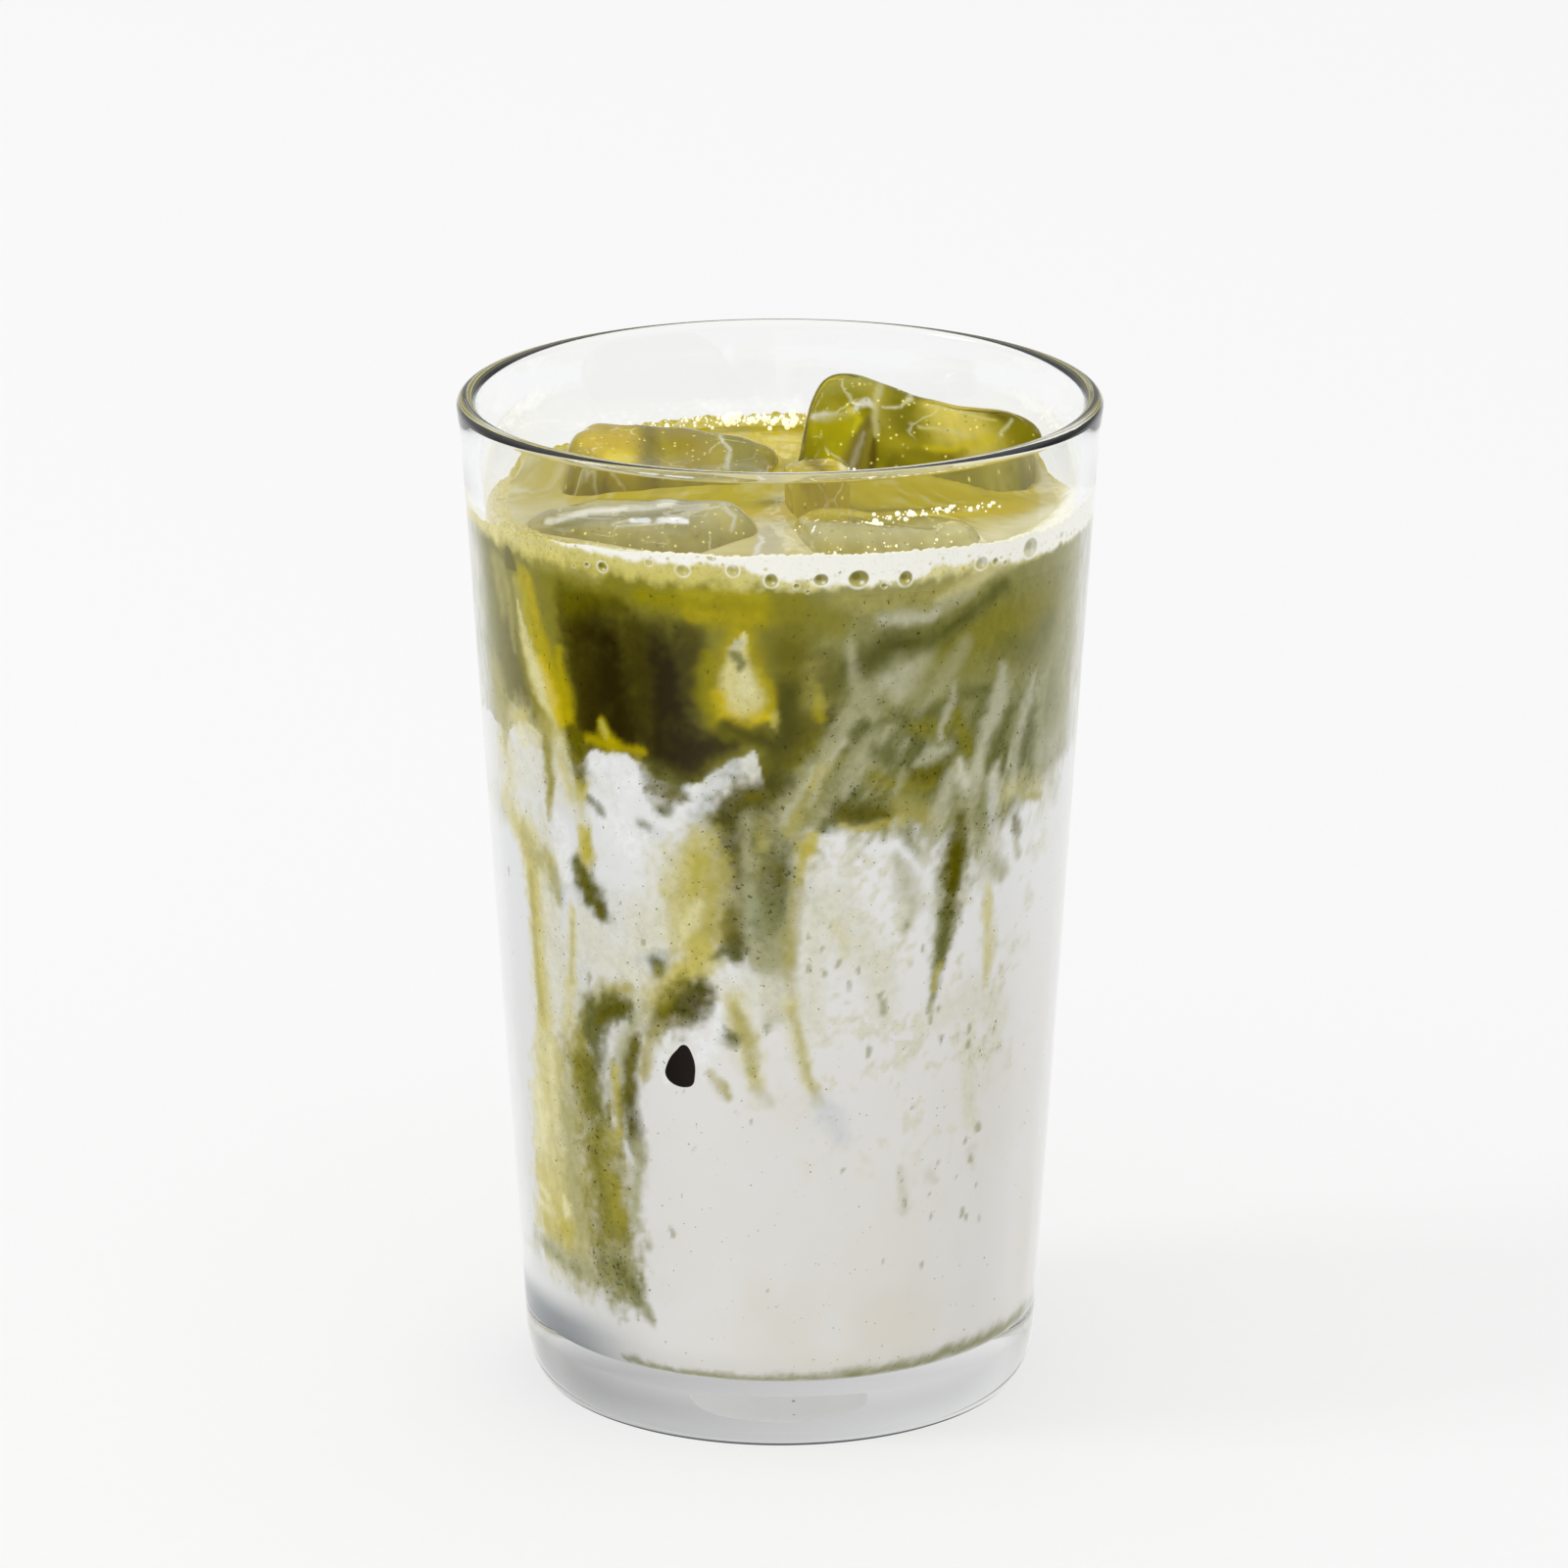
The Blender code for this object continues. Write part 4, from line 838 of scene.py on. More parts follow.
def marbledDrink(name):
    # Milk and powdered green tea, stirred once: flat against glass it has no gloss of its own, and the leaf
    # powder, in grains of 0.15 to 0.3 mm, peppers it wherever tea has spread
    material, tree, place = newMaterial(name)
    colour = addNode(tree, "Attribute", attribute_name="marbling")
    specks = addNode(tree, "Attribute", attribute_name="specks").outputs["Fac"]
    grains = addNode(tree, "TexNoise", {"Vector": place, "Scale": 1 / 0.0005, "Detail": 1.5,
                                        "Roughness": 0.5})
    # the more leaf there is, the lower the crest of the noise that still shows as a speck
    crest = addNode(tree, "MapRange", [specks, 0.0, 1.0, 0.74, 0.60])
    over = addNode(tree, "Math", [grains, crest], operation="SUBTRACT")
    pepper = addNode(tree, "MapRange", [over, 0.0, 0.04, 0.0, 0.85])
    haze = addNode(tree, "TexNoise", {"Vector": place, "Scale": 1 / 0.0012, "Detail": 4.0,
                                      "Roughness": 0.7})
    uneven = addNode(tree, "MapRange", [haze, 0.42, 0.62, 0.0, 0.45])
    clots = addNode(tree, "Math", [uneven, specks], operation="MULTIPLY")
    darker = addNode(tree, "Mix", {"Factor": 1.0, "A": colour, "B": opaque(drink["leaf"])},
                     data_type="RGBA", blend_type="MULTIPLY")
    clotted = addNode(tree, "Mix", {"Factor": clots, "A": colour, "B": darker}, data_type="RGBA")
    peppered = addNode(tree, "Mix", {"Factor": pepper, "A": clotted, "B": darker}, data_type="RGBA")
    shader = addNode(tree, "BsdfPrincipled", {
        "Base Color": peppered, "Roughness": 1.0, "IOR": 1.34, "Specular IOR Level": 0.0})
    addNode(tree, "OutputMaterial", {"Surface": shader})
    return material


# Painted shade: the underside's colour, and the darker grey at the left of the heel
milk = dict(undersideShade="#E0E0DF", leftHeelShade="#7A8084")


def makeMilk():
    # Rows: flat floor, rounded corner, the wall up to the layer's edge, then a wavy disc that closes it
    angle = columnAngles()
    g, into = glass, drink["intoWall"]
    corner = g["floorHeight"] + g["floorCorner"]
    centre, reach = innerRadius(corner) - g["floorCorner"], g["floorCorner"] + into
    top, flat = layerHeight(angle), drink["layerHeight"]
    rows = [around(angle, centre * share, g["floorHeight"] - into) for share in (0.1, 0.35, 0.6, 0.8, 0.92)]
    for t in np.radians(np.linspace(-90, 0, 14)):
        rows.append(around(angle, centre + reach * math.cos(t), corner + reach * math.sin(t)))
    for share in np.linspace(0, 1, 181)[1:]:
        z = corner + (top - corner) * share
        rows.append(around(angle, innerRadius(z) + into, z))
    for share in (0.93, 0.75, 0.5, 0.2):
        rows.append(around(angle, (innerRadius(top) + into) * share, flat + (top - flat) * share))
    points = np.stack(rows)
    count, columns = points.shape[:2]
    high, turn = points[..., 2].ravel(), np.tile(angle, count)
    colour, specks = marble(turn, high)
    # painted shade on the underside, and greyer still to the left, where the base turns dark
    side = np.mod(turn + 180, 360) - 180
    leftShade = smooth(-26, -68, side) * smooth(-118, -92, side) * smooth(16.0, 11.5, high)
    colour = lay(colour, linear(milk["undersideShade"]), smooth(g["floorHeight"] + 0.9, g["floorHeight"], high))
    colour = lay(colour, linear(milk["leftHeelShade"]), 0.92 * leftShade)
    # the last two points close the body at the axis
    points = np.concatenate([points.reshape(-1, 3), [[0, 0, g["floorHeight"] - into], [0, 0, flat]]])
    colour, specks = np.concatenate([colour, colour[:2]]), np.concatenate([specks, specks[:2]])
    makePiece("milkLayer", points, [(gridFaces(count, columns), 0), (capFaces(count, columns), 0)],
              [marbledDrink("milkPoured")], ["milk"], {"marbling": colour, "specks": specks}, 50)


makeMilk()


# Clear ice from a tray, half melted: name, size, centre, turns, narrowing of depth and height, seed
iceBlocks = (
    dict(name="ice_left", piece="iceBack", size=(28.0, 21.0, 24.0), centre=(-14.8, 11.4, 111.7),
         turns=(3, 5, -4), narrow=(0.0, 0.14), seed=11, cuts=44),
    dict(name="ice_right", piece="iceTall", size=(30.4, 16.0, 25.8), centre=(18.0, 10.0, 116.0),
         turns=(-31, 7, -15), narrow=(0.42, 0.04), seed=29, cuts=48),
    dict(name="ice_front", piece="iceFrontLeft", size=(26.5, 17.5, 25.5), centre=(-16.9, -16.6, 108.7),
         turns=(2, -3, -33), narrow=(0.12, 0.0), seed=37, cuts=40),
    dict(name="ice_near", piece="iceFrontRight", size=(22.0, 18.0, 25.0), centre=(13.0, -19.2, 108.6),
         turns=(-3, 3, 14), narrow=(0.0, 0.0), seed=53, cuts=40),
    dict(name="ice_chip", piece="iceChip", size=(7.0, 6.0, 9.0), centre=(4.8, -5.8, 119.8),
         turns=(8, -6, 20), narrow=(0.0, 0.0), seed=71, cuts=20),
)
# edge: colour of the hearts' painted shade where they turn away; glow: strength of their painted glow
ice = dict(
    skin="#FBFAEE", shine="#B4B4AE", crack="#F2F0D2", airBead="#F0E680", dust="#5A5008", edge="#6A6418",
    squareness=7.0, melt=0.8, meltLength=24.0, meltWaves=6, hollow=0.6, coreShare=0.95, coreLift=-0.2,
    sight=(0.257, 0.966), glow=0.2, lit=1.3, mirrored=0.06,
)


def iceTurn(block):
    # The block's turns about X, Y and Z as a matrix
    return np.array(Euler([math.radians(t) for t in block["turns"]], "XYZ").to_matrix())


def makeIceShape(block, scale=1.0, finer=1):
    # A cube's grid drawn onto |x|^7 + |y|^7 + |z|^7 = 1, stretched, narrowed, then dented by sine waves
    n = block["cuts"] * finer
    side = np.linspace(-1, 1, n + 1)
    one, two = np.meshgrid(side, side, indexing="ij")
    sheets = []
    for axis in range(3):
        for sign in (-1, 1):
            sheet = np.empty((n + 1, n + 1, 3))
            sheet[..., axis] = sign
            sheet[..., (axis + 1) % 3], sheet[..., (axis + 2) % 3] = (one, two) if sign > 0 else (two, one)
            sheets.append(sheet)
    cube = np.stack(sheets).reshape(-1, 3)
    faces = np.concatenate([gridFaces(n + 1, n + 1, False, k * (n + 1) ** 2) for k in range(6)])
    _, first, index = np.unique(np.round(cube, 6), axis=0, return_index=True, return_inverse=True)
    cube, faces = cube[first], index.reshape(-1)[faces]
    along = 0.45 * np.sin(cube * math.pi / 2) + 0.55 * cube
    unit = along / (np.abs(along) ** ice["squareness"]).sum(1, keepdims=True) ** (1 / ice["squareness"])
    place = unit * np.array(block["size"]) / 2
    share = (unit[:, 0] + 1) / 2
    place[:, 1] *= 1 - block["narrow"][0] * share
    place[:, 2] *= 1 - block["narrow"][1] * share
    hollow = 1 - np.minimum(1, 1.25 * np.sort(np.abs(unit), 1)[:, 1])
    draw = random.Random(block["seed"])
    melt = np.zeros(len(place))
    for _ in range(ice["meltWaves"]):
        slant, turn = draw.uniform(-1, 1), draw.uniform(0, 2 * math.pi)
        flat = math.sqrt(1 - slant * slant)
        length = ice["meltLength"] * draw.uniform(0.6, 1.4)
        wave = np.array([flat * math.cos(turn), flat * math.sin(turn), slant]) * 2 * math.pi / length
        melt += np.sin(place @ wave + draw.uniform(0, 2 * math.pi))
    melt *= ice["melt"] / math.sqrt(ice["meltWaves"])
    outward = place / np.linalg.norm(place, axis=1, keepdims=True)
    # thumb-sized dents and ripples that melting leaves
    ripple = 0.16 * np.sin(place[:, 0] * 0.7 + 2 * np.sin(place[:, 1] * 0.4 + block["seed"])) \
        * np.sin(place[:, 2] * 0.6 + 1.5 * np.sin(place[:, 0] * 0.3))
    place = place + outward * (melt - ice["hollow"] * hollow + ripple)[:, None]
    return place * scale @ iceTurn(block).T + np.array(block["centre"]), faces


def wetIceSkin():
    # Wet ice: clear, bending light a little less than water does, so that edges flash and the inside shows
    material, tree, place = newMaterial("meltingIceClear")
    ripples = addNode(tree, "TexNoise", {"Vector": place, "Scale": 1 / 0.009, "Detail": 2.0})
    bump = addNode(tree, "Bump", {"Height": ripples, "Strength": 0.05, "Distance": 0.001})
    shader = addNode(tree, "BsdfPrincipled", {
        "Base Color": opaque(ice["skin"]), "Roughness": 0.0, "IOR": 1.31, "Transmission Weight": 1.0,
        "Specular Tint": opaque(ice["shine"]), "Normal": bump})
    addNode(tree, "OutputMaterial", {"Surface": shader})
    return material


# What the inside of each block takes from the tea, with painted highlights: body, pale and deep tone, then
# marks laid on them as (colour, softness, strength, ((across, up, half width in mm), ...)), where up leans
# back as the view does
iceHeartsAndHighlights = {
    "iceBack": ("#AFA10C", "#C6B61A", "#857607", (
        ("#D6BC00", 0.7, 0.95, ((-24.5, 121.5, 1.6), (-21.5, 121, 2.6), (-20.5, 119, 2.4))),
        ("#F4E24A", 0.9, 0.8, ((-22, 119.6, 0.7), (-19.6, 119.2, 0.8))),
        ("#C9B60A", 0.8, 0.8, ((-25, 124, 0.8), (-20, 124.2, 0.9))),
        ("#847A06", 1, 0.85, ((-17.4, 124, 0.8), (-16.8, 121, 1.2), (-16.6, 117, 1.4))),
        ("#A59606", 0.8, 0.9, ((-13.6, 123, 1.2), (-11.4, 121, 2.2), (-12, 117, 2.2))),
        ("#97903E", 0.7, 0.9, ((-7.6, 123, 0.9), (-5.4, 121, 2), (-5, 117, 2.4))),
        ("#D9D7BE", 0.9, 0.8, ((-8.6, 122.8, 0.2), (-6.6, 120.4, 0.3), (-6.8, 118, 0.3))),
        ("#77710C", 1, 0.8, ((-26.8, 125.2, 0.3), (-18, 125.3, 0.35), (-9.6, 124.2, 0.3),
                             (-4, 121.6, 0.3))),
        # painted highlights: two white glints on the top edge
        ("#FFFFFF", 0.8, 1, ((-12.4, 123.4, 0.3), (-11.2, 123.4, 0.25))),
        ("#FFFFFF", 0.8, 1, ((-27.4, 124.4, 0.25), (-26.8, 123, 0.3))),
    )),
    "iceTall": ("#A1993E", "#BDB25C", "#7C741C", (
        ("#B3AD68", 0.8, 0.9, ((4, 129, 1.6), (7, 130.4, 1.8), (11, 130.2, 1.6))),
        ("#A79C34", 0.8, 0.8, ((8, 131.4, 0.7), (13, 130.4, 1))),
        # painted highlights: the white triangle in two parts and a white glint
        ("#F4F2E6", 0.4, 0.95, ((4.2, 124.8, 0.3), (6, 125, 0.75), (8.2, 124.9, 0.55), (10, 126, 0.3))),
        ("#EFEDDC", 0.5, 0.9, ((10, 126.6, 0.4), (11.4, 127, 0.55), (12.4, 126.2, 0.25))),
        ("#FFFFFF", 0.4, 0.95, ((6.4, 130, 0.22), (7.4, 130.8, 0.28))),
        ("#BDB414", 0.8, 0.95, ((5.4, 123.4, 1.4), (8.6, 124.4, 1.6), (7.4, 121, 1.8), (6.6, 118, 1.6))),
        ("#D9CF4C", 0.9, 0.8, ((9, 126, 0.35), (10.2, 124.6, 0.4), (9.6, 123, 0.3))),
        ("#8A7F50", 0.7, 0.9, ((11.6, 124.6, 0.5), (10.4, 121.6, 1.2), (9.4, 118.4, 1.7))),
        ("#B7B092", 0.9, 0.8, ((11, 123, 0.2), (9.8, 120, 0.35), (9, 118, 0.3))),
        ("#5E5318", 0.9, 0.8, ((12.4, 122.6, 0.3), (12, 119.6, 0.5), (11.6, 118, 0.4))),
        ("#CDC790", 0.9, 0.9, ((13.6, 131, 0.4), (12.8, 128, 0.5), (12.4, 125, 0.5), (12.6, 122.6, 0.3))),
        ("#8A8430", 0.8, 0.9, ((15.6, 128.6, 1.2), (16, 125.6, 2.2), (16.4, 121.4, 1.9), (16, 118.6, 1.6))),
        ("#B3A94A", 1, 0.8, ((14.4, 122, 1.2), (18.6, 120.4, 1.2))),
        ("#E4DEB4", 0.9, 0.9, ((18.2, 129, 0.22), (17.6, 127.6, 0.28), (15.8, 126.2, 0.2),
                               (13.6, 126.2, 0.16))),
        ("#DECE72", 0.8, 1, ((20.4, 127, 1.6), (22.6, 124.4, 3), (25.6, 122, 2.6))),
        ("#BDB272", 0.9, 0.8, ((20, 128, 0.8), (26, 125.6, 0.8))),
        ("#DAD08A", 0.9, 0.9, ((18, 123.6, 0.16), (22, 123.2, 0.3), (27, 121.6, 0.2))),
        ("#DAD08A", 0.9, 0.7, ((19, 126.4, 0.14), (24, 125.4, 0.24), (28, 124.6, 0.14))),
        ("#726A14", 0.7, 0.9, ((25.6, 126.6, 0.6), (28, 126, 0.9), (29.4, 124.8, 0.7))),
        ("#8E8636", 0.9, 0.9, ((30.4, 124.4, 1.2), (32, 122, 1.6))),
        ("#DAD6A4", 0.9, 0.8, ((29.8, 124.4, 0.18), (28.6, 122.6, 0.22))),
        ("#8C8318", 0.9, 0.7, ((16.4, 120.4, 0.5), (20, 119.6, 0.8), (24, 120.6, 0.4))),
        ("#D5C648", 0.9, 0.7, ((18.6, 121, 0.3), (22, 120.8, 0.5), (27, 122, 0.9))),
        ("#5F5A14", 1, 0.8, ((3, 127, 0.3), (5.4, 131, 0.3), (9.6, 132.6, 0.3), (14, 131.4, 0.3),
                               (22, 128.6, 0.3), (28.6, 127.6, 0.35), (32.6, 124.6, 0.3))),
    )),
    "iceFrontLeft": ("#B3A96E", "#C8C298", "#958B48", (
        ("#C9BE7E", 0.8, 0.8, ((-28, 113.6, 1.2), (-22, 114.6, 1.2), (-14, 114.4, 1))),
        ("#A9A480", 0.8, 0.8, ((-27, 111.2, 0.8), (-20, 112.2, 0.9), (-12, 113, 0.9), (-7, 113.6, 0.6))),
        # painted highlight: the thin pale line along the ridge
        ("#E6E3D2", 0.8, 0.9, ((-29, 111.4, 0.25), (-24, 112.6, 0.35), (-17, 113.4, 0.3),
                               (-10, 114, 0.25))),
        ("#8F8852", 0.9, 0.7, ((-28.6, 110.8, 0.25), (-22, 111.8, 0.3), (-13, 112.4, 0.25))),
        # painted highlights: two white glints
        ("#FFFFFF", 0.5, 1, ((-18.4, 111.5, 0.35), (-16.6, 111.4, 0.4))),
        ("#FFFFFF", 0.5, 1, ((-15, 111.5, 0.4), (-11.8, 111.4, 0.35))),
        ("#C4B972", 0.9, 0.8, ((-8.6, 113, 1.2), (-5.4, 111, 1.6))),
        ("#DCD8BC", 0.9, 0.8, ((-7.4, 113.6, 0.2), (-5.8, 112.2, 0.25), (-6.2, 110.6, 0.2))),
    )),
    "iceFrontRight": ("#CBBF78", "#D8D2A2", "#A0963E", (
        ("#CDB914", 0.9, 0.8, ((3, 112.2, 0.7), (12, 112.4, 0.8), (20, 113.6, 0.8))),
        ("#D9CE70", 0.9, 0.6, ((4, 112.6, 0.4), (12, 112.4, 0.4))),
        ("#A89C34", 0.9, 0.8, ((5, 111, 0.5), (14, 111, 0.7), (21, 112.4, 0.6))),
        ("#C9C190", 0.9, 0.8, ((3, 110, 0.8), (12, 109.8, 0.9), (20, 110.6, 0.8))),
    )),
    "iceChip": ("#C9B714", "#E0D244", "#8F7F08", (
        ("#F0E6B0", 0.8, 0.9, ((1.4, 121.6, 0.4), (4, 122.8, 0.35), (7.4, 121.8, 0.5), (8.2, 118, 0.6))),
        ("#8E7F06", 0.9, 0.8, ((3.4, 119.4, 0.5), (5, 118, 0.7))),
        ("#E2CC14", 0.9, 0.9, ((4.2, 120.8, 0.8), (6.2, 119.8, 0.9))),
    )),
}


def iceTone(code):
    # As it looks, less what the wet skin mirrors, over the light that reaches the heart
    return underSkin(code, ice["mirrored"], ice["lit"])


def iceHeartAndHighlights(piece, points, seed):
    # Tones of the ice from slow and fine unevenness, streaked along its height, with the marks on top,
    # painted highlights among them
    body, pale, deep, marks = iceHeartsAndHighlights[piece]
    x, y, z = points.T
    back, rise = ice["sight"]
    up = rise * z + back * y
    slow, fine = billow(x + 90, up, 7.0, seed, None, 3), billow(x + 90, up, 1.6, seed + 1, None, 4, 0.65)
    streaked = billow(x + 90 + 0.25 * up, up / 4, 0.9, seed + 2, None, 2)
    colour = np.tile(iceTone(body), (len(x), 1))
    colour = lay(colour, iceTone(pale), 0.8 * smooth(0.0, 0.7, slow + 0.4 * fine))
    colour = lay(colour, iceTone(deep), 0.8 * smooth(0.1, 0.8, -slow + 0.6 * fine))
    across, over = x + 0.35 * fine + 0.3 * slow, up + 0.3 * billow(x + 90, up, 1.8, seed + 3, None, 3)
    for code, softness, strength, line in marks:
        reach = strokeReach(across, over, line, 1.0) * (1 + 0.3 * fine)
        colour = lay(colour, iceTone(code), cover(reach, softness, strength))
    return np.clip(colour * (1 + 0.10 * fine + 0.10 * streaked)[:, None], 0, 1)


def cloudyIceCore(name):
    # The heart of an ice block: stained by the tea, with painted highlights, hair cracks and beads of air,
    # painted shade where it turns away, and a painted glow: it gives off a little light of its own colour
    material, tree, place = newMaterial("cloudyIceCore." + name)
    heartAndHighlights = addNode(tree, "Attribute", attribute_name="heartAndHighlights")
    bend = addNode(tree, "TexNoise", {"Vector": place, "Scale": 1 / 0.005, "Detail": 3.0})
    sway = addNode(tree, "VectorMath", [bend.outputs["Color"], (0.5, 0.5, 0.5)], operation="SUBTRACT")
    small = addNode(tree, "VectorMath", {0: sway, 3: 0.004}, operation="SCALE")
    bent = addNode(tree, "VectorMath", [place, small], operation="ADD")
    cracks = addNode(tree, "TexVoronoi", {"Vector": bent, "Scale": 1 / 0.009}, feature="DISTANCE_TO_EDGE")
    crack = addNode(tree, "MapRange", [cracks, 0.0, 0.025, 0.35, 0.0])
    some = addNode(tree, "MapRange", [bend, 0.5, 0.62, 0.0, 1.0])
    vein = addNode(tree, "Math", [crack, some], operation="MULTIPLY")
    # beads of air, a few in each square millimetre, and dark grains of tea dust between them
    beads = addNode(tree, "TexVoronoi", {"Vector": place, "Scale": 1 / 0.0008}, feature="F1")
    bead = addNode(tree, "MapRange", [beads, 0.1, 0.28, 1.0, 0.0])
    kind = addNode(tree, "SeparateColor", [beads.outputs["Color"]])
    light = addNode(tree, "MapRange", [kind, 0.6, 0.85, 0.0, 0.9])
    dusty = addNode(tree, "MapRange", [kind, 0.3, 0.15, 0.0, 0.6])
    bright = addNode(tree, "Math", [bead, light], operation="MULTIPLY")
    dull = addNode(tree, "Math", [bead, dusty], operation="MULTIPLY")
    # painted shade: darker olive towards the edges that face away from view
    away = addNode(tree, "LayerWeight", {"Blend": 0.3}).outputs["Facing"]
    edge = addNode(tree, "MapRange", [away, 0.45, 0.95, 0.0, 0.55])
    colour = heartAndHighlights
    for share, name in ((vein, "crack"), (bright, "airBead"), (dull, "dust"), (edge, "edge")):
        colour = addNode(tree, "Mix", {"Factor": share, "A": colour,
                                       "B": opaque(ice[name])}, data_type="RGBA")
    # painted glow: the heart gives off a little light of its own colour
    shader = addNode(tree, "BsdfPrincipled", {
        "Base Color": colour, "Roughness": 0.5, "IOR": 1.31, "Specular IOR Level": 0.0,
        "Emission Color": colour, "Emission Strength": ice["glow"]})
    addNode(tree, "OutputMaterial", {"Surface": shader})
    return material


def makeIce():
    # Each block is a clear shell round a smaller, finer body that carries the painted cloud
    skin = wetIceSkin()
    for block in iceBlocks:
        name, points, faces = block["piece"], *makeIceShape(block)
        piece = makePiece(name, points, [(faces, 0)], [skin], [block["name"]])
        piece.visible_shadow = False
        piece.visible_diffuse = False
        inside, faces = makeIceShape(block, ice["coreShare"], 2)
        inside = inside + [0, 0, ice["coreLift"]]
        makePiece(name + "Core", inside, [(faces, 0)], [cloudyIceCore(name)], (),
                  {"heartAndHighlights": iceHeartAndHighlights(name, inside, block["seed"])})


makeIce()


tea = dict(
    pocketDepth=7.0, iceClimb=0.45, meniscus=0.7, meniscusReach=1.2, skinRows=84, topRings=104, wallGap=1.4,
    ripple=0.12, front="#D3C88C", back="#D2BF2A", gap="#BFAE14", deep="#9A9030", film="#D9D2A0", glow=0.15,
    lit=1.2, mirrored=0.045,
)
# Marks on the open surface: colour, softness, strength, ((right, back, half width in mm), ...)
surfaceMarks = (
    ("#C9B40E", 0.9, 0.95, ((-4, -6, 2), (8, -9, 2.6), (20, -8, 3), (30, -4, 2.4))),
    ("#D8C84A", 0.9, 0.7, ((2, -8, 0.8), (14, -9.4, 0.9), (24, -7, 0.7))),
    ("#8F8420", 1, 0.8, ((-2, -3, 1.2), (10, -5, 1), (22, -4, 1))),
    ("#CFC284", 0.9, 0.8, ((-37, -8, 3), (-31, -6, 3.6), (-28, -2, 3))),
    ("#B9AE62", 0.9, 0.8, ((-33, -14, 2), (-26, -12, 2))),
    ("#D4CFB4", 0.9, 0.8, ((-34, -19, 1.2), (-30, -22, 1), (-22, -29, 0.8))),
    ("#BFB692", 0.9, 0.7, ((-1.5, -14, 1.4), (-1, -24, 1.6), (-1, -33, 1.4))),
    ("#E9E6D6", 0.8, 0.8, ((-3, -16, 0.25), (-2.2, -22, 0.35), (-2.6, -27, 0.3))),
    ("#EDE6BE", 0.9, 0.85, ((24, -22, 2.6), (31, -14, 3), (36, -6, 2.4))),
    ("#A69B46", 0.9, 0.7, ((26, -27, 0.6), (33, -19, 0.7), (37, -10, 0.6))),
)
froth = dict(
    foot=114.5, top=119.7, climb=((1, 0.8), (2, 0.9)), width=3.1,
    widthWaves=((1, 0.9, 0.0), (2, 0.3, 1.0), (5, 0.4, 0.4), (9, 0.3, 2.5)), intoWall=0.14, glow=0.22,
    smear=(80.0, 13.0, 1.8), drip=((-60.4, 116.6, 1.0), (-60.0, 115.0, 1.5)), frontColumns=700,
    backColumns=420, cell=0.95, lump=0.42, fineLump=0.14, dome=0.62,
)


def frothClimb(angle):
    # How far the ring stands above its mean height: a sum of depth * cos(n a)
    turn = np.radians(angle)
    return sum(depth * np.cos(count * turn) for count, depth in froth["climb"])


def frothFoot(angle):
    # Where the froth begins on the wall: its mean foot, the climb and a slow unevenness of 0.2 mm
    u = angle * drink["mmPerDegree"]
    return froth["foot"] + frothClimb(angle) + 0.2 * billow(u, u * 0, 9, 91, loopLength, 3)


def frothWidth(angle):
    # How far it reaches inwards: a mean width and a sum of depth * cos(n a + shift)
    turn = np.radians(angle)
    return froth["width"] + sum(d * np.cos(n * turn + s) for n, d, s in froth["widthWaves"])


def insideIce(x, y, block):
    # How many millimetres a point of the surface is inside a block, minus outside: (1 - norm) * half width
    level = np.stack([x, y, np.full(x.shape, drink["level"])], -1) - np.array(block["centre"])
    local = level @ iceTurn(block)
    half = np.array(block["size"]) / 2
    share = np.clip((local[..., 0] / half[0] + 1) / 2, 0, 1)
    wide = np.stack([np.full(x.shape, half[0]), half[1] * (1 - block["narrow"][0] * share),
                     half[2] * (1 - block["narrow"][1] * share)], -1)
    norm = (np.abs(local / wide) ** ice["squareness"]).sum(-1) ** (1 / ice["squareness"])
    return (1 - norm) * half[:2].min()


def teaSurface(x, y, radius):
    # Level + slow ripples + a rim that creeps up the wall and the ice, and a hollow where each block sits
    height = drink["level"] + tea["ripple"] * billow(x + 60, y + 60, 6, 71, None, 3)
    wall = innerRadius(drink["level"]) - radius
    height += tea["meniscus"] * np.exp(-wall / tea["meniscusReach"])
    deepest = np.full(x.shape, -9.0)
    for block in iceBlocks:
        deepest = np.maximum(deepest, insideIce(x, y, block))
    height += tea["iceClimb"] * np.exp(-np.abs(deepest + 0.2) / 0.7) * (deepest < 0.4)
    return height - tea["pocketDepth"] * smooth(0.3, 4.0, deepest), deepest


def surfaceShade(x, y, film):
    # Yellow behind and between the ice, paler in front, darker round the back wall, with drawn-out streaks
    def wet(code):
        # as it looks under the wet face
        return underSkin(code, tea["mirrored"], tea["lit"])

    deep, pale = wet(tea["deep"]), wet(tea["film"])
    slow, fine = billow(x + 90, y + 90, 8, 61, None, 3), billow(x + 90, y + 90, 1.6, 63, None, 3, 0.65)
    streaked = billow(x / 3 + 90, y + 90 + 0.02 * x * x, 1.7, 65, None, 4)
    colour = np.tile(wet(tea["front"]), (len(x), 1))
    for tint, share in (
            (wet(tea["gap"]), smooth(-13, -2, y + 3 * slow)),
            (wet(tea["back"]), smooth(12, 22, y + 2 * slow)),
            (deep, 0.7 * smooth(32.5, 35, np.hypot(x, y)) * smooth(8, 20, y)),
            (deep, 0.35 * smooth(0.0, 0.7, streaked + 0.5 * fine)),
            (pale, 0.35 * smooth(0.05, 0.7, -streaked + 0.5 * fine))):
        colour = lay(colour, tint, share)
    for code, softness, strength, line in surfaceMarks:
        reach = strokeReach(x + 0.8 * slow + 0.3 * fine, y + 1.2 * fine, line, 1.0)
        colour = lay(colour, wet(code), cover(reach, softness, strength))
    return np.clip(lay(colour, pale, film), 0, 1)


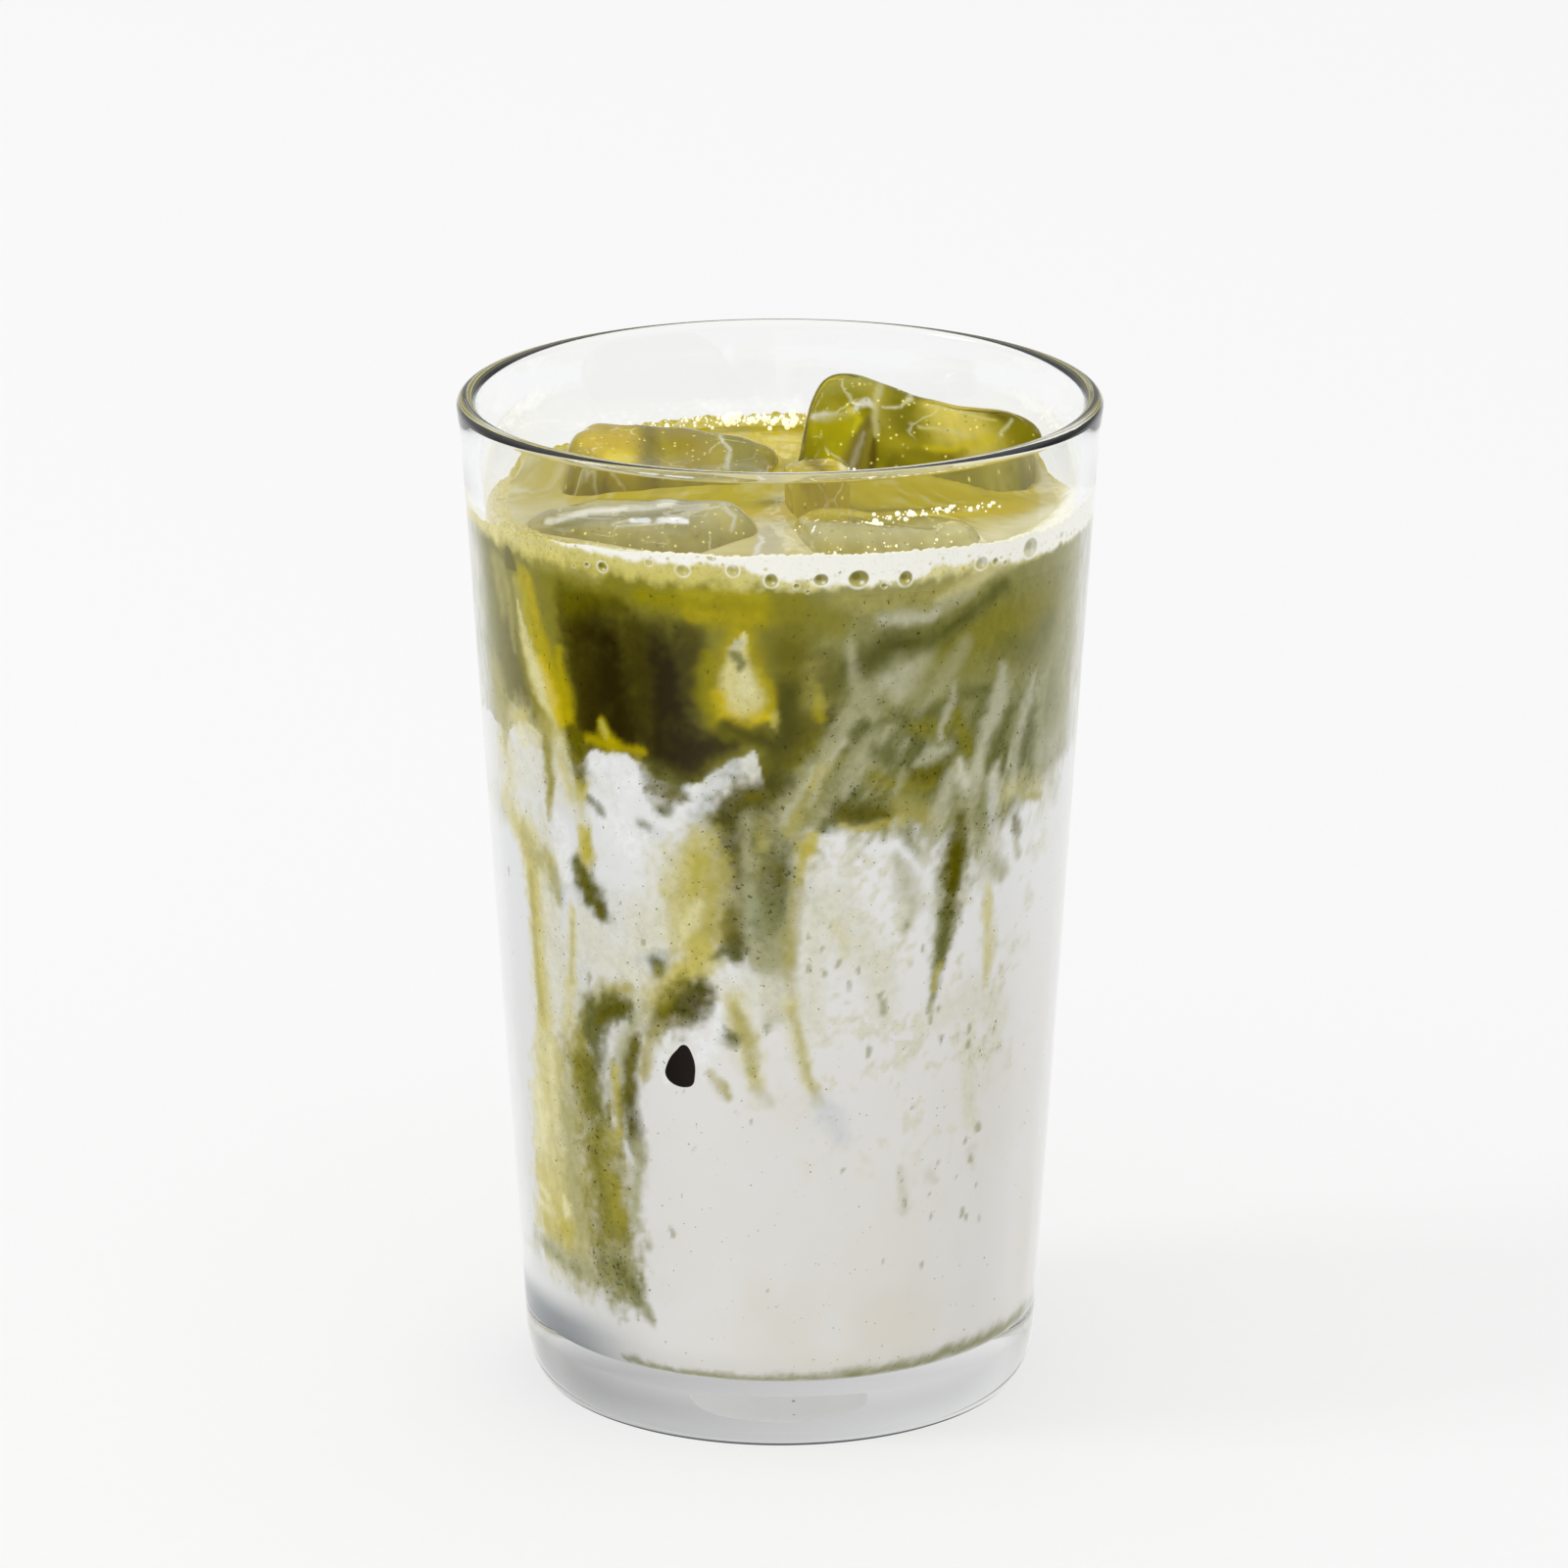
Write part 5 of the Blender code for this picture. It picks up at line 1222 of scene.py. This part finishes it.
def teaOpenSurface():
    # Green tea seen from above: a wet face over cloudy yellow-green, with a film of fine froth in places
    material, tree, place = newMaterial("greenTeaSurface")
    colour = addNode(tree, "Attribute", attribute_name="marbling")
    ripples = addNode(tree, "TexNoise", {"Vector": place, "Scale": 1 / 0.003, "Detail": 3.0})
    bump = addNode(tree, "Bump", {"Height": ripples, "Strength": 0.08, "Distance": 0.001})
    # painted glow: the face gives off a little light of its own colour
    shader = addNode(tree, "BsdfPrincipled", {
        "Base Color": colour, "Roughness": 0.03, "IOR": 1.34, "Specular IOR Level": 0.3,
        "Emission Color": colour, "Emission Strength": tea["glow"], "Normal": bump})
    addNode(tree, "OutputMaterial", {"Surface": shader})
    return material


def makeTea():
    # Rows: a wavy disc below, the wall from the layer's edge to the froth, a step under it, rings inwards
    angle = columnAngles()
    into = drink["intoWall"] + 0.005  # a hair over the milk, so that no seam shows between them
    flat, above = drink["layerHeight"], 0.02
    edge = layerHeight(angle)
    low, high = edge - drink["overlap"], frothFoot(angle) + 0.6
    rows = [around(angle, (innerRadius(low) + into) * share, flat + (edge - flat) * share + above)
            for share in (0.2, 0.6, 0.93)]
    for share in np.linspace(0, 1, tea["skinRows"]):
        z = low + (high - low) * share
        rows.append(around(angle, innerRadius(z) + into, z))
    skinEnd = len(rows)
    for inset, rise in ((0.4, 0.5), (0.9, 0.9)):
        rows.append(around(angle, innerRadius(high) - inset, high + rise))
    film = [np.zeros(len(angle))] * (len(rows) - skinEnd)
    widest = innerRadius(drink["level"]) - tea["wallGap"]
    for share in np.linspace(1, 0.02, tea["topRings"]):
        x, y, _ = around(angle, widest * share, 0.0).T
        z, deepest = teaSurface(x, y, widest * share)
        rows.append(np.stack([x, y, z], -1))
        fuzzy = billow(x + 60, y + 60, 5, 81, None, 4) + 0.5 * smooth(9, 2, widest * (1 - share)) - 0.45
        film.append(0.7 * smooth(0.0, 0.5, fuzzy) * smooth(0.5, -0.5, deepest))
    points = np.stack(rows)
    count, columns = points.shape[:2]
    colour, specks = marble(np.tile(angle, count), points[..., 2].ravel())
    # the last two points close the body at the axis, below and above
    points = np.concatenate([points.reshape(-1, 3),
                             [[0, 0, flat + above], [0, 0, points[-1, :, 2].mean()]]])
    colour, specks = np.concatenate([colour, colour[:2]]), np.concatenate([specks, specks[:2]])
    onTop = slice(skinEnd * columns, len(points))
    colour[onTop] = surfaceShade(points[onTop, 0], points[onTop, 1], np.concatenate([*film, [0, 0]]))
    skin, caps = gridFaces(skinEnd, columns), capFaces(count, columns)
    top = gridFaces(count - skinEnd + 1, columns, True, (skinEnd - 1) * columns)
    makePiece("teaLayer", points, [(skin, 0), (caps[:columns], 0), (top, 1), (caps[columns:], 1)],
              [marbledDrink("greenTeaStirred"), teaOpenSurface()], ["tea"],
              {"marbling": colour, "specks": specks}, 50)


makeTea()


# Bubbles pressed flat on the wall: angle, height, radius, how far the froth is thinned inside
wallBubbles = (
    (-38, 118.2, 0.35, 0.9), (-34.5, 118.3, 0.72, 0.9), (-18, 119.2, 0.9, 0.35), (-12.5, 121.3, 0.7, 0.7),
    (-1.6, 118.4, 0.85, 0.8), (3, 117.6, 0.42, 0.8), (7.5, 118.4, 0.95, 0.9), (14.5, 118.3, 1.35, 0.95),
    (19.4, 117.1, 0.4, 0.7), (23.6, 117.8, 0.95, 0.9), (40, 118.2, 1, 0.45), (43.4, 118, 0.5, 0.7),
    (46, 117.5, 0.38, 0.5), (53, 118.5, 1.45, 0.5), (-8.6, 119.6, 0.8, 0.3), (-24.6, 119.8, 0.55, 0.25),
    (-41.2, 117.6, 0.22, 0.7), (-47, 119.2, 0.2, 0.7), (-60, 119.4, 0.2, 0.4), (11, 119.2, 0.2, 0.7),
    (64, 118.4, 0.6, 0.25), (70, 118, 0.4, 0.2), (5, 116.9, 0.25, 0.8), (-15.2, 121.8, 0.25, 0.5),
)


# Lowest height of the white crest: angle, height
frothWhite = (
    (-90, 120.8), (-60, 120.8), (-42, 120.2), (-30, 119.7), (-20, 120.1), (-10, 120.2), (-3, 119.3),
    (3, 118.1), (10, 117.5), (20, 117.3), (26, 117.8), (31, 118.9), (38, 118.5), (45, 117.5), (55, 117),
    (80, 117.2), (110, 119.5), (200, 121), (270, 120.6),
)


def makeFrothRing():
    # A closed loop of rows round the glass: up the wall, over a lumpy crown, down to the tea, back under
    angle = columnAngles(froth["frontColumns"], froth["backColumns"])
    turn = np.mod(angle + 90, 360) - 90
    u = angle * drink["mmPerDegree"]
    width, foot, into = frothWidth(angle), frothFoot(angle), froth["intoWall"]

    def uneven(size, seed):
        # billows along the ring alone
        return billow(u, u * 0, size, seed, loopLength, 3)

    smearAt, smearWide, smearHigh = froth["smear"]
    crown = froth["top"] + frothClimb(angle) + 0.35 * uneven(5, 97)
    crown = crown + smearHigh * np.exp(-((turn - smearAt) / smearWide) ** 2) * (1 + 0.25 * uneven(1.6, 98))
    whiteFoot = np.interp(turn, *np.array(frothWhite).T)
    scallop, ragged = uneven(1.1, 104), uneven(1.6, 107)

    def shadeOf(height):
        # tea at its foot, then yellow froth full of pinholes, then a white crest with a scalloped edge
        first, _, number = cells(u, height, 0.34, 101, loopLength)
        big, _, bigNumber = cells(u, height, 0.9, 103, loopLength)
        mottle = billow(u, height, 1.3, 105, loopLength, 3)
        wisps = billow(u, height / 3, 0.7, 106, loopLength, 2)
        lift = (height - foot) / (crown - foot)
        risen = smooth(116.5, 118.3, height + 0.3 * wisps + 0.8 * mottle)
        fair = smooth(-14, 6, turn) * smooth(110, 80, turn)
        yellow = lay(tone["foamYellow"], tone["foamPale"], 0.35 * smooth(0.3, 1.0, lift) + 0.65 * fair)
        pits = np.maximum((number > 0.7) * smooth(0.36, 0.16, first) * 0.55,
                          (bigNumber > 0.93) * smooth(0.3, 0.2, big) * 0.6)
        pinholes = (number > 0.86) * smooth(0.34, 0.18, first) * 0.35
        white = smooth(-0.35, 0.45, height - whiteFoot + 0.55 * scallop + 0.25 * mottle)
        hollows = (bigNumber > 0.66) * smooth(0.3, 0.2, big) * smooth(2.2, 0.3, height - whiteFoot)
        drip = strokeReach(turn, height, froth["drip"]) * (1 + 0.2 * mottle)
        colour, _ = marble(turn, height)
        for tint, share in (
                (yellow * (1 + 0.12 * mottle)[:, None], risen), (tone["khaki"], pits * risen),
                (tone["foamWhite"], white * (1 - pinholes)), (tone["straw"], 0.7 * hollows * risen),
                (tone["moss"], 0.9 * smooth(1.2, 0.6, drip))):
            colour = lay(colour, tint, share)
        # each bubble on the wall: a hollow with painted shade, darker at the top and lighter at the foot,
        # a bright rim, a dark spot of painted shade and a painted glint
        for at, z, radius, thinned in wallBubbles:
            aside, up = (turn - at) * drink["mmPerDegree"] / radius, (height - z) / radius
            away = np.hypot(aside, up * (1 + 0.12 * np.sin(at)))
            rim = smooth(1.3, 1.04, away) * smooth(0.8, 0.98, away) * (0.8 + 0.25 * np.sin(3 * aside + at))
            hole = smooth(0.98, 0.84, away) * thinned
            shadeSpot, glint = np.hypot(aside + 0.28, up - 0.25), np.hypot(aside - 0.3, up + 0.42)
            for tint, share in (
                    (lay(tone["olive"], tone["foamYellow"], 0.8 * smooth(0.3, -0.9, up)), hole),
                    (tone["foamWhite"], 0.7 * rim), (tone["moss"], 0.7 * smooth(0.5, 0.25, shadeSpot) * hole),
                    (tone["foamWhite"], 0.8 * smooth(0.3, 0.12, glint) * hole)):
                colour = lay(colour, tint, share)
        return colour * litShare / (litShare + froth["glow"])

    rows, colours = [], []
    for share in np.append(0, np.linspace(0.004, 1, 42)):  # two rows at the foot keep its corner sharp
        z = foot + (crown - foot) * share
        rows.append(around(angle, innerRadius(z) + into, z))
        colours.append(shadeOf(z))
    front = smooth(-44, -20, turn) * smooth(105, 78, turn)
    backTone = lay(tone["glow"], tone["foamYellow"], 0.25 + 0.75 * front)
    low = drink["level"] - 0.15
    for share in np.linspace(0, 1, 40)[1:]:
        v = share * width
        first, second, number = cells(u, v + 20, froth["cell"], 109, loopLength)
        fine, _, _ = cells(u, v + 20, froth["cell"] * 0.45, 113, loopLength)
        dome = np.sqrt(np.clip(1 - (first / froth["dome"]) ** 2, 0, 1)) * (0.4 + 0.6 * number)
        small = np.sqrt(np.clip(1 - (fine / froth["dome"]) ** 2, 0, 1))
        lumps = (froth["lump"] * dome + froth["fineLump"] * small) * (1 - 0.5 * share)
        z = low + (crown - low) * (1 - share) ** 0.6 + lumps * smooth(0, 0.06, share) \
            - 0.25 * smooth(0.9, 1.0, share)
        rows.append(around(angle, innerRadius(crown) + into * (1 - share) - v, z))
        edge = smooth(0.30, 0.12, second - first)
        base = lay(backTone, tone["foamWhite"], 0.25 * edge + front * (0.75 - 0.25 * edge))
        colours.append(0.85 * lay(base, tone["straw"], 0.8 * smooth(0.3, 0.9, share + 0.25 * ragged)))
    for share, drop in ((0.9, 0.8), (0.5, 1.2), (0.08, 1.5)):
        z = np.minimum(drink["level"] - drop, foot + 0.5)
        rows.append(around(angle, innerRadius(foot) - 0.3 - (width - 0.3) * share, z))
        colours.append(colours[-1])
    count, columns = len(rows), len(angle)
    ring, after = np.arange(columns), np.roll(np.arange(columns), -1)
    last = (count - 1) * columns
    closing = np.stack([ring + last, after + last, after, ring], -1)
    makePiece("frothRing", np.stack(rows), [(gridFaces(count, columns), 0), (closing, 0)], [teaFroth()],
              ["froth"], {"foam": np.concatenate(colours)})


def teaFroth():
    # Shaken tea froth: closed bubbles of 0.1 to 1 mm, dull and nearly white where they stand thick
    material, tree, place = newMaterial("shakenTeaFroth")
    colour = addNode(tree, "Attribute", attribute_name="foam")
    cells = addNode(tree, "TexVoronoi", {"Vector": place, "Scale": 1 / 0.0005}, feature="F1")
    bump = addNode(tree, "Bump", {"Height": cells, "Strength": 0.3, "Distance": 0.0003}, invert=True)
    # painted glow: the froth gives off a little light of its own colour
    shader = addNode(tree, "BsdfPrincipled", {
        "Base Color": colour, "Roughness": 0.5, "IOR": 1.33, "Specular IOR Level": 0.08,
        "Emission Color": colour, "Emission Strength": froth["glow"], "Normal": bump})
    addNode(tree, "OutputMaterial", {"Surface": shader})
    return material


makeFrothRing()


# A roasted rice grain that rests against the wall in the milk
grain = dict(
    angle=-21.0, height=52.6, long=6.0, wide=4.2, deep=2.6, lean=10.0, intoWall=0.16, wallRadius=35.0,
    dark="#0B0704", brown="#1C1008",
)


def roastedRice():
    # Roasted rice: nearly black brown, mottled
    material, tree, place = newMaterial("riceGrainRoasted")
    noise = addNode(tree, "TexNoise", {"Vector": place, "Scale": 1 / 0.0012})
    colour = addNode(tree, "Mix", {"Factor": noise, "A": opaque(grain["dark"]),
                                   "B": opaque(grain["brown"])}, data_type="RGBA")
    shader = addNode(tree, "BsdfPrincipled", {
        "Base Color": colour, "Roughness": 0.35, "IOR": 1.45, "Specular IOR Level": 0.0})
    addNode(tree, "OutputMaterial", {"Surface": shader})
    return material


def makeGrain():
    # A drop: radius w sin(t)^0.9 (1 - 0.42 cos t) round its long axis, flattened, its face against the wall
    t = np.linspace(0, math.pi, 40)[1:-1, None]
    goRound = np.linspace(0, 2 * math.pi, 56, endpoint=False)[None]
    wide = np.sin(t) ** 0.9 * (1 - 0.42 * np.cos(t))
    wide = wide / wide.max() * grain["wide"] / 2
    wrinkle = 1 + 0.05 * np.sin(3 * goRound + 2.5 * t) + 0.03 * np.sin(7 * goRound + 5 * t)
    side = wide * np.cos(goRound) * wrinkle
    out = wide * np.sin(goRound) * grain["deep"] / grain["wide"] * wrinkle
    up = np.broadcast_to(np.cos(t) * grain["long"] / 2, side.shape)
    lean = math.radians(grain["lean"])
    across, along = math.sin(lean), math.cos(lean)
    side, up = side * along + up * across, up * along - side * across
    poles = np.array([[across, along], [-across, -along]]) * grain["long"] / 2

    def onWall(side, up, inwards):
        # that far along the wall, up it and off it, from the grain's middle
        height = grain["height"] + up
        angle = grain["angle"] + np.degrees(side / grain["wallRadius"])
        return around(angle, innerRadius(height) + inwards, height).reshape(-1, 3)

    body = onWall(side, up, grain["intoWall"] + np.minimum(out, 0.0) - 0.1 * np.maximum(0, 0.6 - out))
    points = np.concatenate([body, onWall(poles[:, 0], poles[:, 1], 0.02)])
    makePiece("roastedGrain", points, [(gridFaces(*side.shape), 0), (capFaces(*side.shape), 0)],
              [roastedRice()])


makeGrain()


# Loose bubbles in rows at the back of the froth, on the chip and along the front ice: how many, from where,
# to where, how far they stray, and their smallest and largest radius
bubbles = dict(
    ballRows=6, ballColumns=9, seed=5, white="#FCFBF2", cream="#F2EDD0", glow=0.4,
    rows=(
        (70, (-24, 28, 120), (-6, 34, 120.4), (1, 1, 0.3), (0.12, 0.34)),
        (110, (-8, 33.6, 120.2), (10, 34.2, 120.2), (1.4, 1, 0.35), (0.15, 0.62)),
        (50, (8, 34.2, 120.2), (22, 28.6, 120), (0.8, 0.8, 0.2), (0.12, 0.4)),
        (60, (1.8, -7.6, 122.4), (7.5, -4.2, 123.2), (1.2, 1, 0.6), (0.14, 0.42)),
        (44, (3, -24.5, 120.9), (14, -21, 121.3), (0.8, 1, 0.25), (0.12, 0.4)),
        (60, (12, -19, 121.2), (27, -12.5, 121.3), (0.6, 1.1, 0.15), (0.12, 0.46)),
        (20, (4.5, -30.6, 119.6), (24, -25.2, 120.2), (0.5, 0.35, 0.2), (0.1, 0.2)),
    ),
)


def bubbleShape():
    # A small ball of latitude rings with closed poles
    rows, columns = bubbles["ballRows"], bubbles["ballColumns"]
    t = np.linspace(0, math.pi, rows + 1)[1:-1, None]
    p = np.linspace(0, 2 * math.pi, columns, endpoint=False)
    body = np.stack([np.sin(t) * np.cos(p), np.sin(t) * np.sin(p),
                     np.broadcast_to(np.cos(t), (len(t), columns))], -1).reshape(-1, 3)
    points = np.concatenate([body, [[0, 0, 1], [0, 0, -1]]])
    return points, gridFaces(len(t), columns), capFaces(len(t), columns)


def scatterBubbles(name, centres, radii, material):
    # One small ball copied to every centre at its own size
    points, quads, fans = bubbleShape()
    everywhere = centres[:, None, :] + radii[:, None, None] * points[None]
    shift = (np.arange(len(centres)) * len(points))[:, None, None]
    faceSets = [((faces[None] + shift).reshape(-1, faces.shape[1]), 0) for faces in (quads, fans)]
    makePiece(name, everywhere, faceSets, [material])


def soapyBubble():
    # A bubble with painted light: white in its middle, clearer towards its edge, glowing a little in its own
    # colour, in place of the glints on real bubbles
    material, tree, place = newMaterial("bubbleFilm")
    away = addNode(tree, "LayerWeight", {"Blend": 0.35}).outputs["Facing"]
    share = addNode(tree, "MapRange", [away, 0.1, 0.8, 0.85, 0.35])
    noise = addNode(tree, "TexNoise", {"Vector": place, "Scale": 1 / 0.002})
    colour = addNode(tree, "Mix", {"Factor": noise, "A": opaque(bubbles["white"]),
                                   "B": opaque(bubbles["cream"])}, data_type="RGBA")
    shader = addNode(tree, "BsdfPrincipled", {
        "Base Color": colour, "Roughness": 0.1, "IOR": 1.33, "Alpha": share, "Emission Color": colour,
        "Emission Strength": bubbles["glow"]})
    addNode(tree, "OutputMaterial", {"Surface": shader})
    return material


def makeBubbles():
    # Centres drawn evenly along each row and strayed from it by normal draws, small bubbles far more often
    pick = np.random.default_rng(bubbles["seed"])
    centres, radii = [], []
    for count, start, end, spread, (least, most) in bubbles["rows"]:
        t = pick.random(count)[:, None]
        radius = least + (most - least) * pick.random(count) ** 2.2
        stray = pick.normal(0, 1, (count, 3)) * np.array(spread)
        place = np.array(start) * (1 - t) + np.array(end) * t + stray
        place[:, 2] += radius * 0.3
        centres.append(place)
        radii.append(radius)
    scatterBubbles("surfaceBubbles", np.concatenate(centres), np.concatenate(radii), soapyBubble())


makeBubbles()


studio = dict(
    floorGlow=0.5, glowPower=0.89, floorRadius=4000.0, paper="#F9F9F9", fibre="#FBFBFB",
    backdrop=0.956, high=1.15, side=0.7, backLeft=0.68, backRight=0.4, horizonFront=0.78,
    lowFront=0.3, lowSide=0.04, lowBack=0.95,
    keyPower=6.0, keySize=0.5, keyPlace=(-1.5, -0.25, 1.4),
    glintPower=0.1, glintSize=0.2, glintPlace=(-0.15, 2.0, 0.75), lampAim=(0, 0, 0.07),
    lens=175.5, sensor=36.0, clip=(0.01, 50.0), cameraPlace=(0.0, -0.95213, 0.37195),
    cameraLook=(0.000515, 0.95606, -0.29316),
)


def paperFloor():
    # Matt white paper: partly lit from below, as a light table is, so that shadows stay pale
    material, tree, place = newMaterial("paperSweep")
    fibre = addNode(tree, "TexNoise", {"Vector": place, "Scale": 1 / 0.0015})
    colour = addNode(tree, "Mix", {"Factor": fibre, "A": opaque(studio["paper"]),
                                   "B": opaque(studio["fibre"])}, data_type="RGBA")
    paper = addNode(tree, "BsdfDiffuse", {"Color": colour})
    glow = addNode(tree, "Emission", {"Color": colour, "Strength": studio["glowPower"]})
    both = addNode(tree, "MixShader", [studio["floorGlow"], paper, glow])
    addNode(tree, "OutputMaterial", {"Surface": both})
    return material


def makeFloor():
    # A wide disc that no view sees the end of
    ring = around(np.linspace(0, 360, 96, endpoint=False), studio["floorRadius"], 0.0)
    points = np.concatenate([ring, [[0, 0, 0]]]) * mm
    mesh = bpy.data.meshes.new("floor")
    mesh.from_pydata(points.tolist(), [], poleFaces(96, np.arange(96)).tolist())
    mesh.materials.append(paperFloor())
    floor = bpy.data.objects.new("floor", mesh)
    scene.collection.objects.link(floor)
    floor.visible_glossy = False


def makeWorld():
    # Behind everything the same white as the floor. Light comes from a bright dome whose lower part is dim,
    # dimmer still at the sides, which draws the dark lines along clear edges
    world = bpy.data.worlds.new("studioDome")
    scene.world = world
    world.use_nodes = True
    tree = world.node_tree
    tree.nodes.clear()
    soft = dict(interpolation_type="SMOOTHSTEP")
    parts = addNode(tree, "SeparateXYZ", [addNode(tree, "TexCoord").outputs["Generated"]]).outputs
    # grey behind, where the base and the tea's surface are mirrored, and darker to the right
    behind = addNode(tree, "MapRange", [parts["X"], -0.6, 0.7, studio["backLeft"], studio["backRight"]])
    level = addNode(tree, "MapRange", [parts["Y"], -0.2, 0.3, studio["horizonFront"], behind], **soft)
    rise = addNode(tree, "MapRange", [parts["Z"], 0.3, 0.7, level, studio["high"]], **soft)
    sideways = addNode(tree, "Math", [parts["X"]], operation="ABSOLUTE")
    dim = addNode(tree, "MapRange", [sideways, 0.72, 0.98, 1.0, studio["side"]], **soft)
    dome = addNode(tree, "Math", [rise, dim], operation="MULTIPLY")
    above = addNode(tree, "MapRange", [parts["Z"], -0.04, 0.04, 0.0, 1.0])
    # what a glossy edge sees under the horizon: dark at the sides of the glass, dim in front, white behind
    near = addNode(tree, "MapRange", [sideways, 0.45, 0.85, studio["lowFront"], studio["lowSide"]], **soft)
    under = addNode(tree, "MapRange", [parts["Y"], 0.0, 0.6, near, studio["lowBack"]], **soft)
    steep = addNode(tree, "MapRange", [parts["Z"], -0.55, -0.8, 0.0, 1.0], **soft)
    ground = addNode(tree, "Mix", {"Factor": steep, "A": under, "B": studio["lowBack"]})
    sky = addNode(tree, "Mix", {"Factor": above, "A": ground, "B": dome})
    seen = addNode(tree, "Mix", {"Factor": addNode(tree, "LightPath"), "A": sky, "B": studio["backdrop"]})
    background = addNode(tree, "Background", {"Color": (1, 1, 1, 1), "Strength": seen})
    addNode(tree, "OutputWorld", {"Surface": background})


def addLamp(name, power, size, place):
    # A square softbox that looks at the glass
    lamp = bpy.data.lights.new(name, "AREA")
    lamp.energy, lamp.size = power, size
    holder = bpy.data.objects.new(name, lamp)
    scene.collection.objects.link(holder)
    holder.location = place
    holder.rotation_mode = "QUATERNION"
    holder.rotation_quaternion = (Vector(studio["lampAim"]) - Vector(place)).to_track_quat("-Z", "Y")
    return holder


def makeLights():
    # A soft key from the left, and a small lamp low behind for sparks on wet edges
    addLamp("keySoftbox", studio["keyPower"], studio["keySize"], studio["keyPlace"])
    glint = addLamp("glintLamp", studio["glintPower"], studio["glintSize"], studio["glintPlace"])
    glint.visible_transmission = False


def makeCamera():
    # A long lens that looks a little down
    camera = bpy.data.objects.new("camera", bpy.data.cameras.new("camera"))
    camera.data.lens, camera.data.sensor_width = studio["lens"], studio["sensor"]
    camera.data.clip_start, camera.data.clip_end = studio["clip"]
    camera.location = studio["cameraPlace"]
    camera.rotation_mode = "QUATERNION"
    camera.rotation_quaternion = Vector(studio["cameraLook"]).to_track_quat("-Z", "Y")
    scene.collection.objects.link(camera)
    scene.camera = camera


makeFloor()
makeWorld()
makeLights()
makeCamera()
print("floor, light and camera are set")
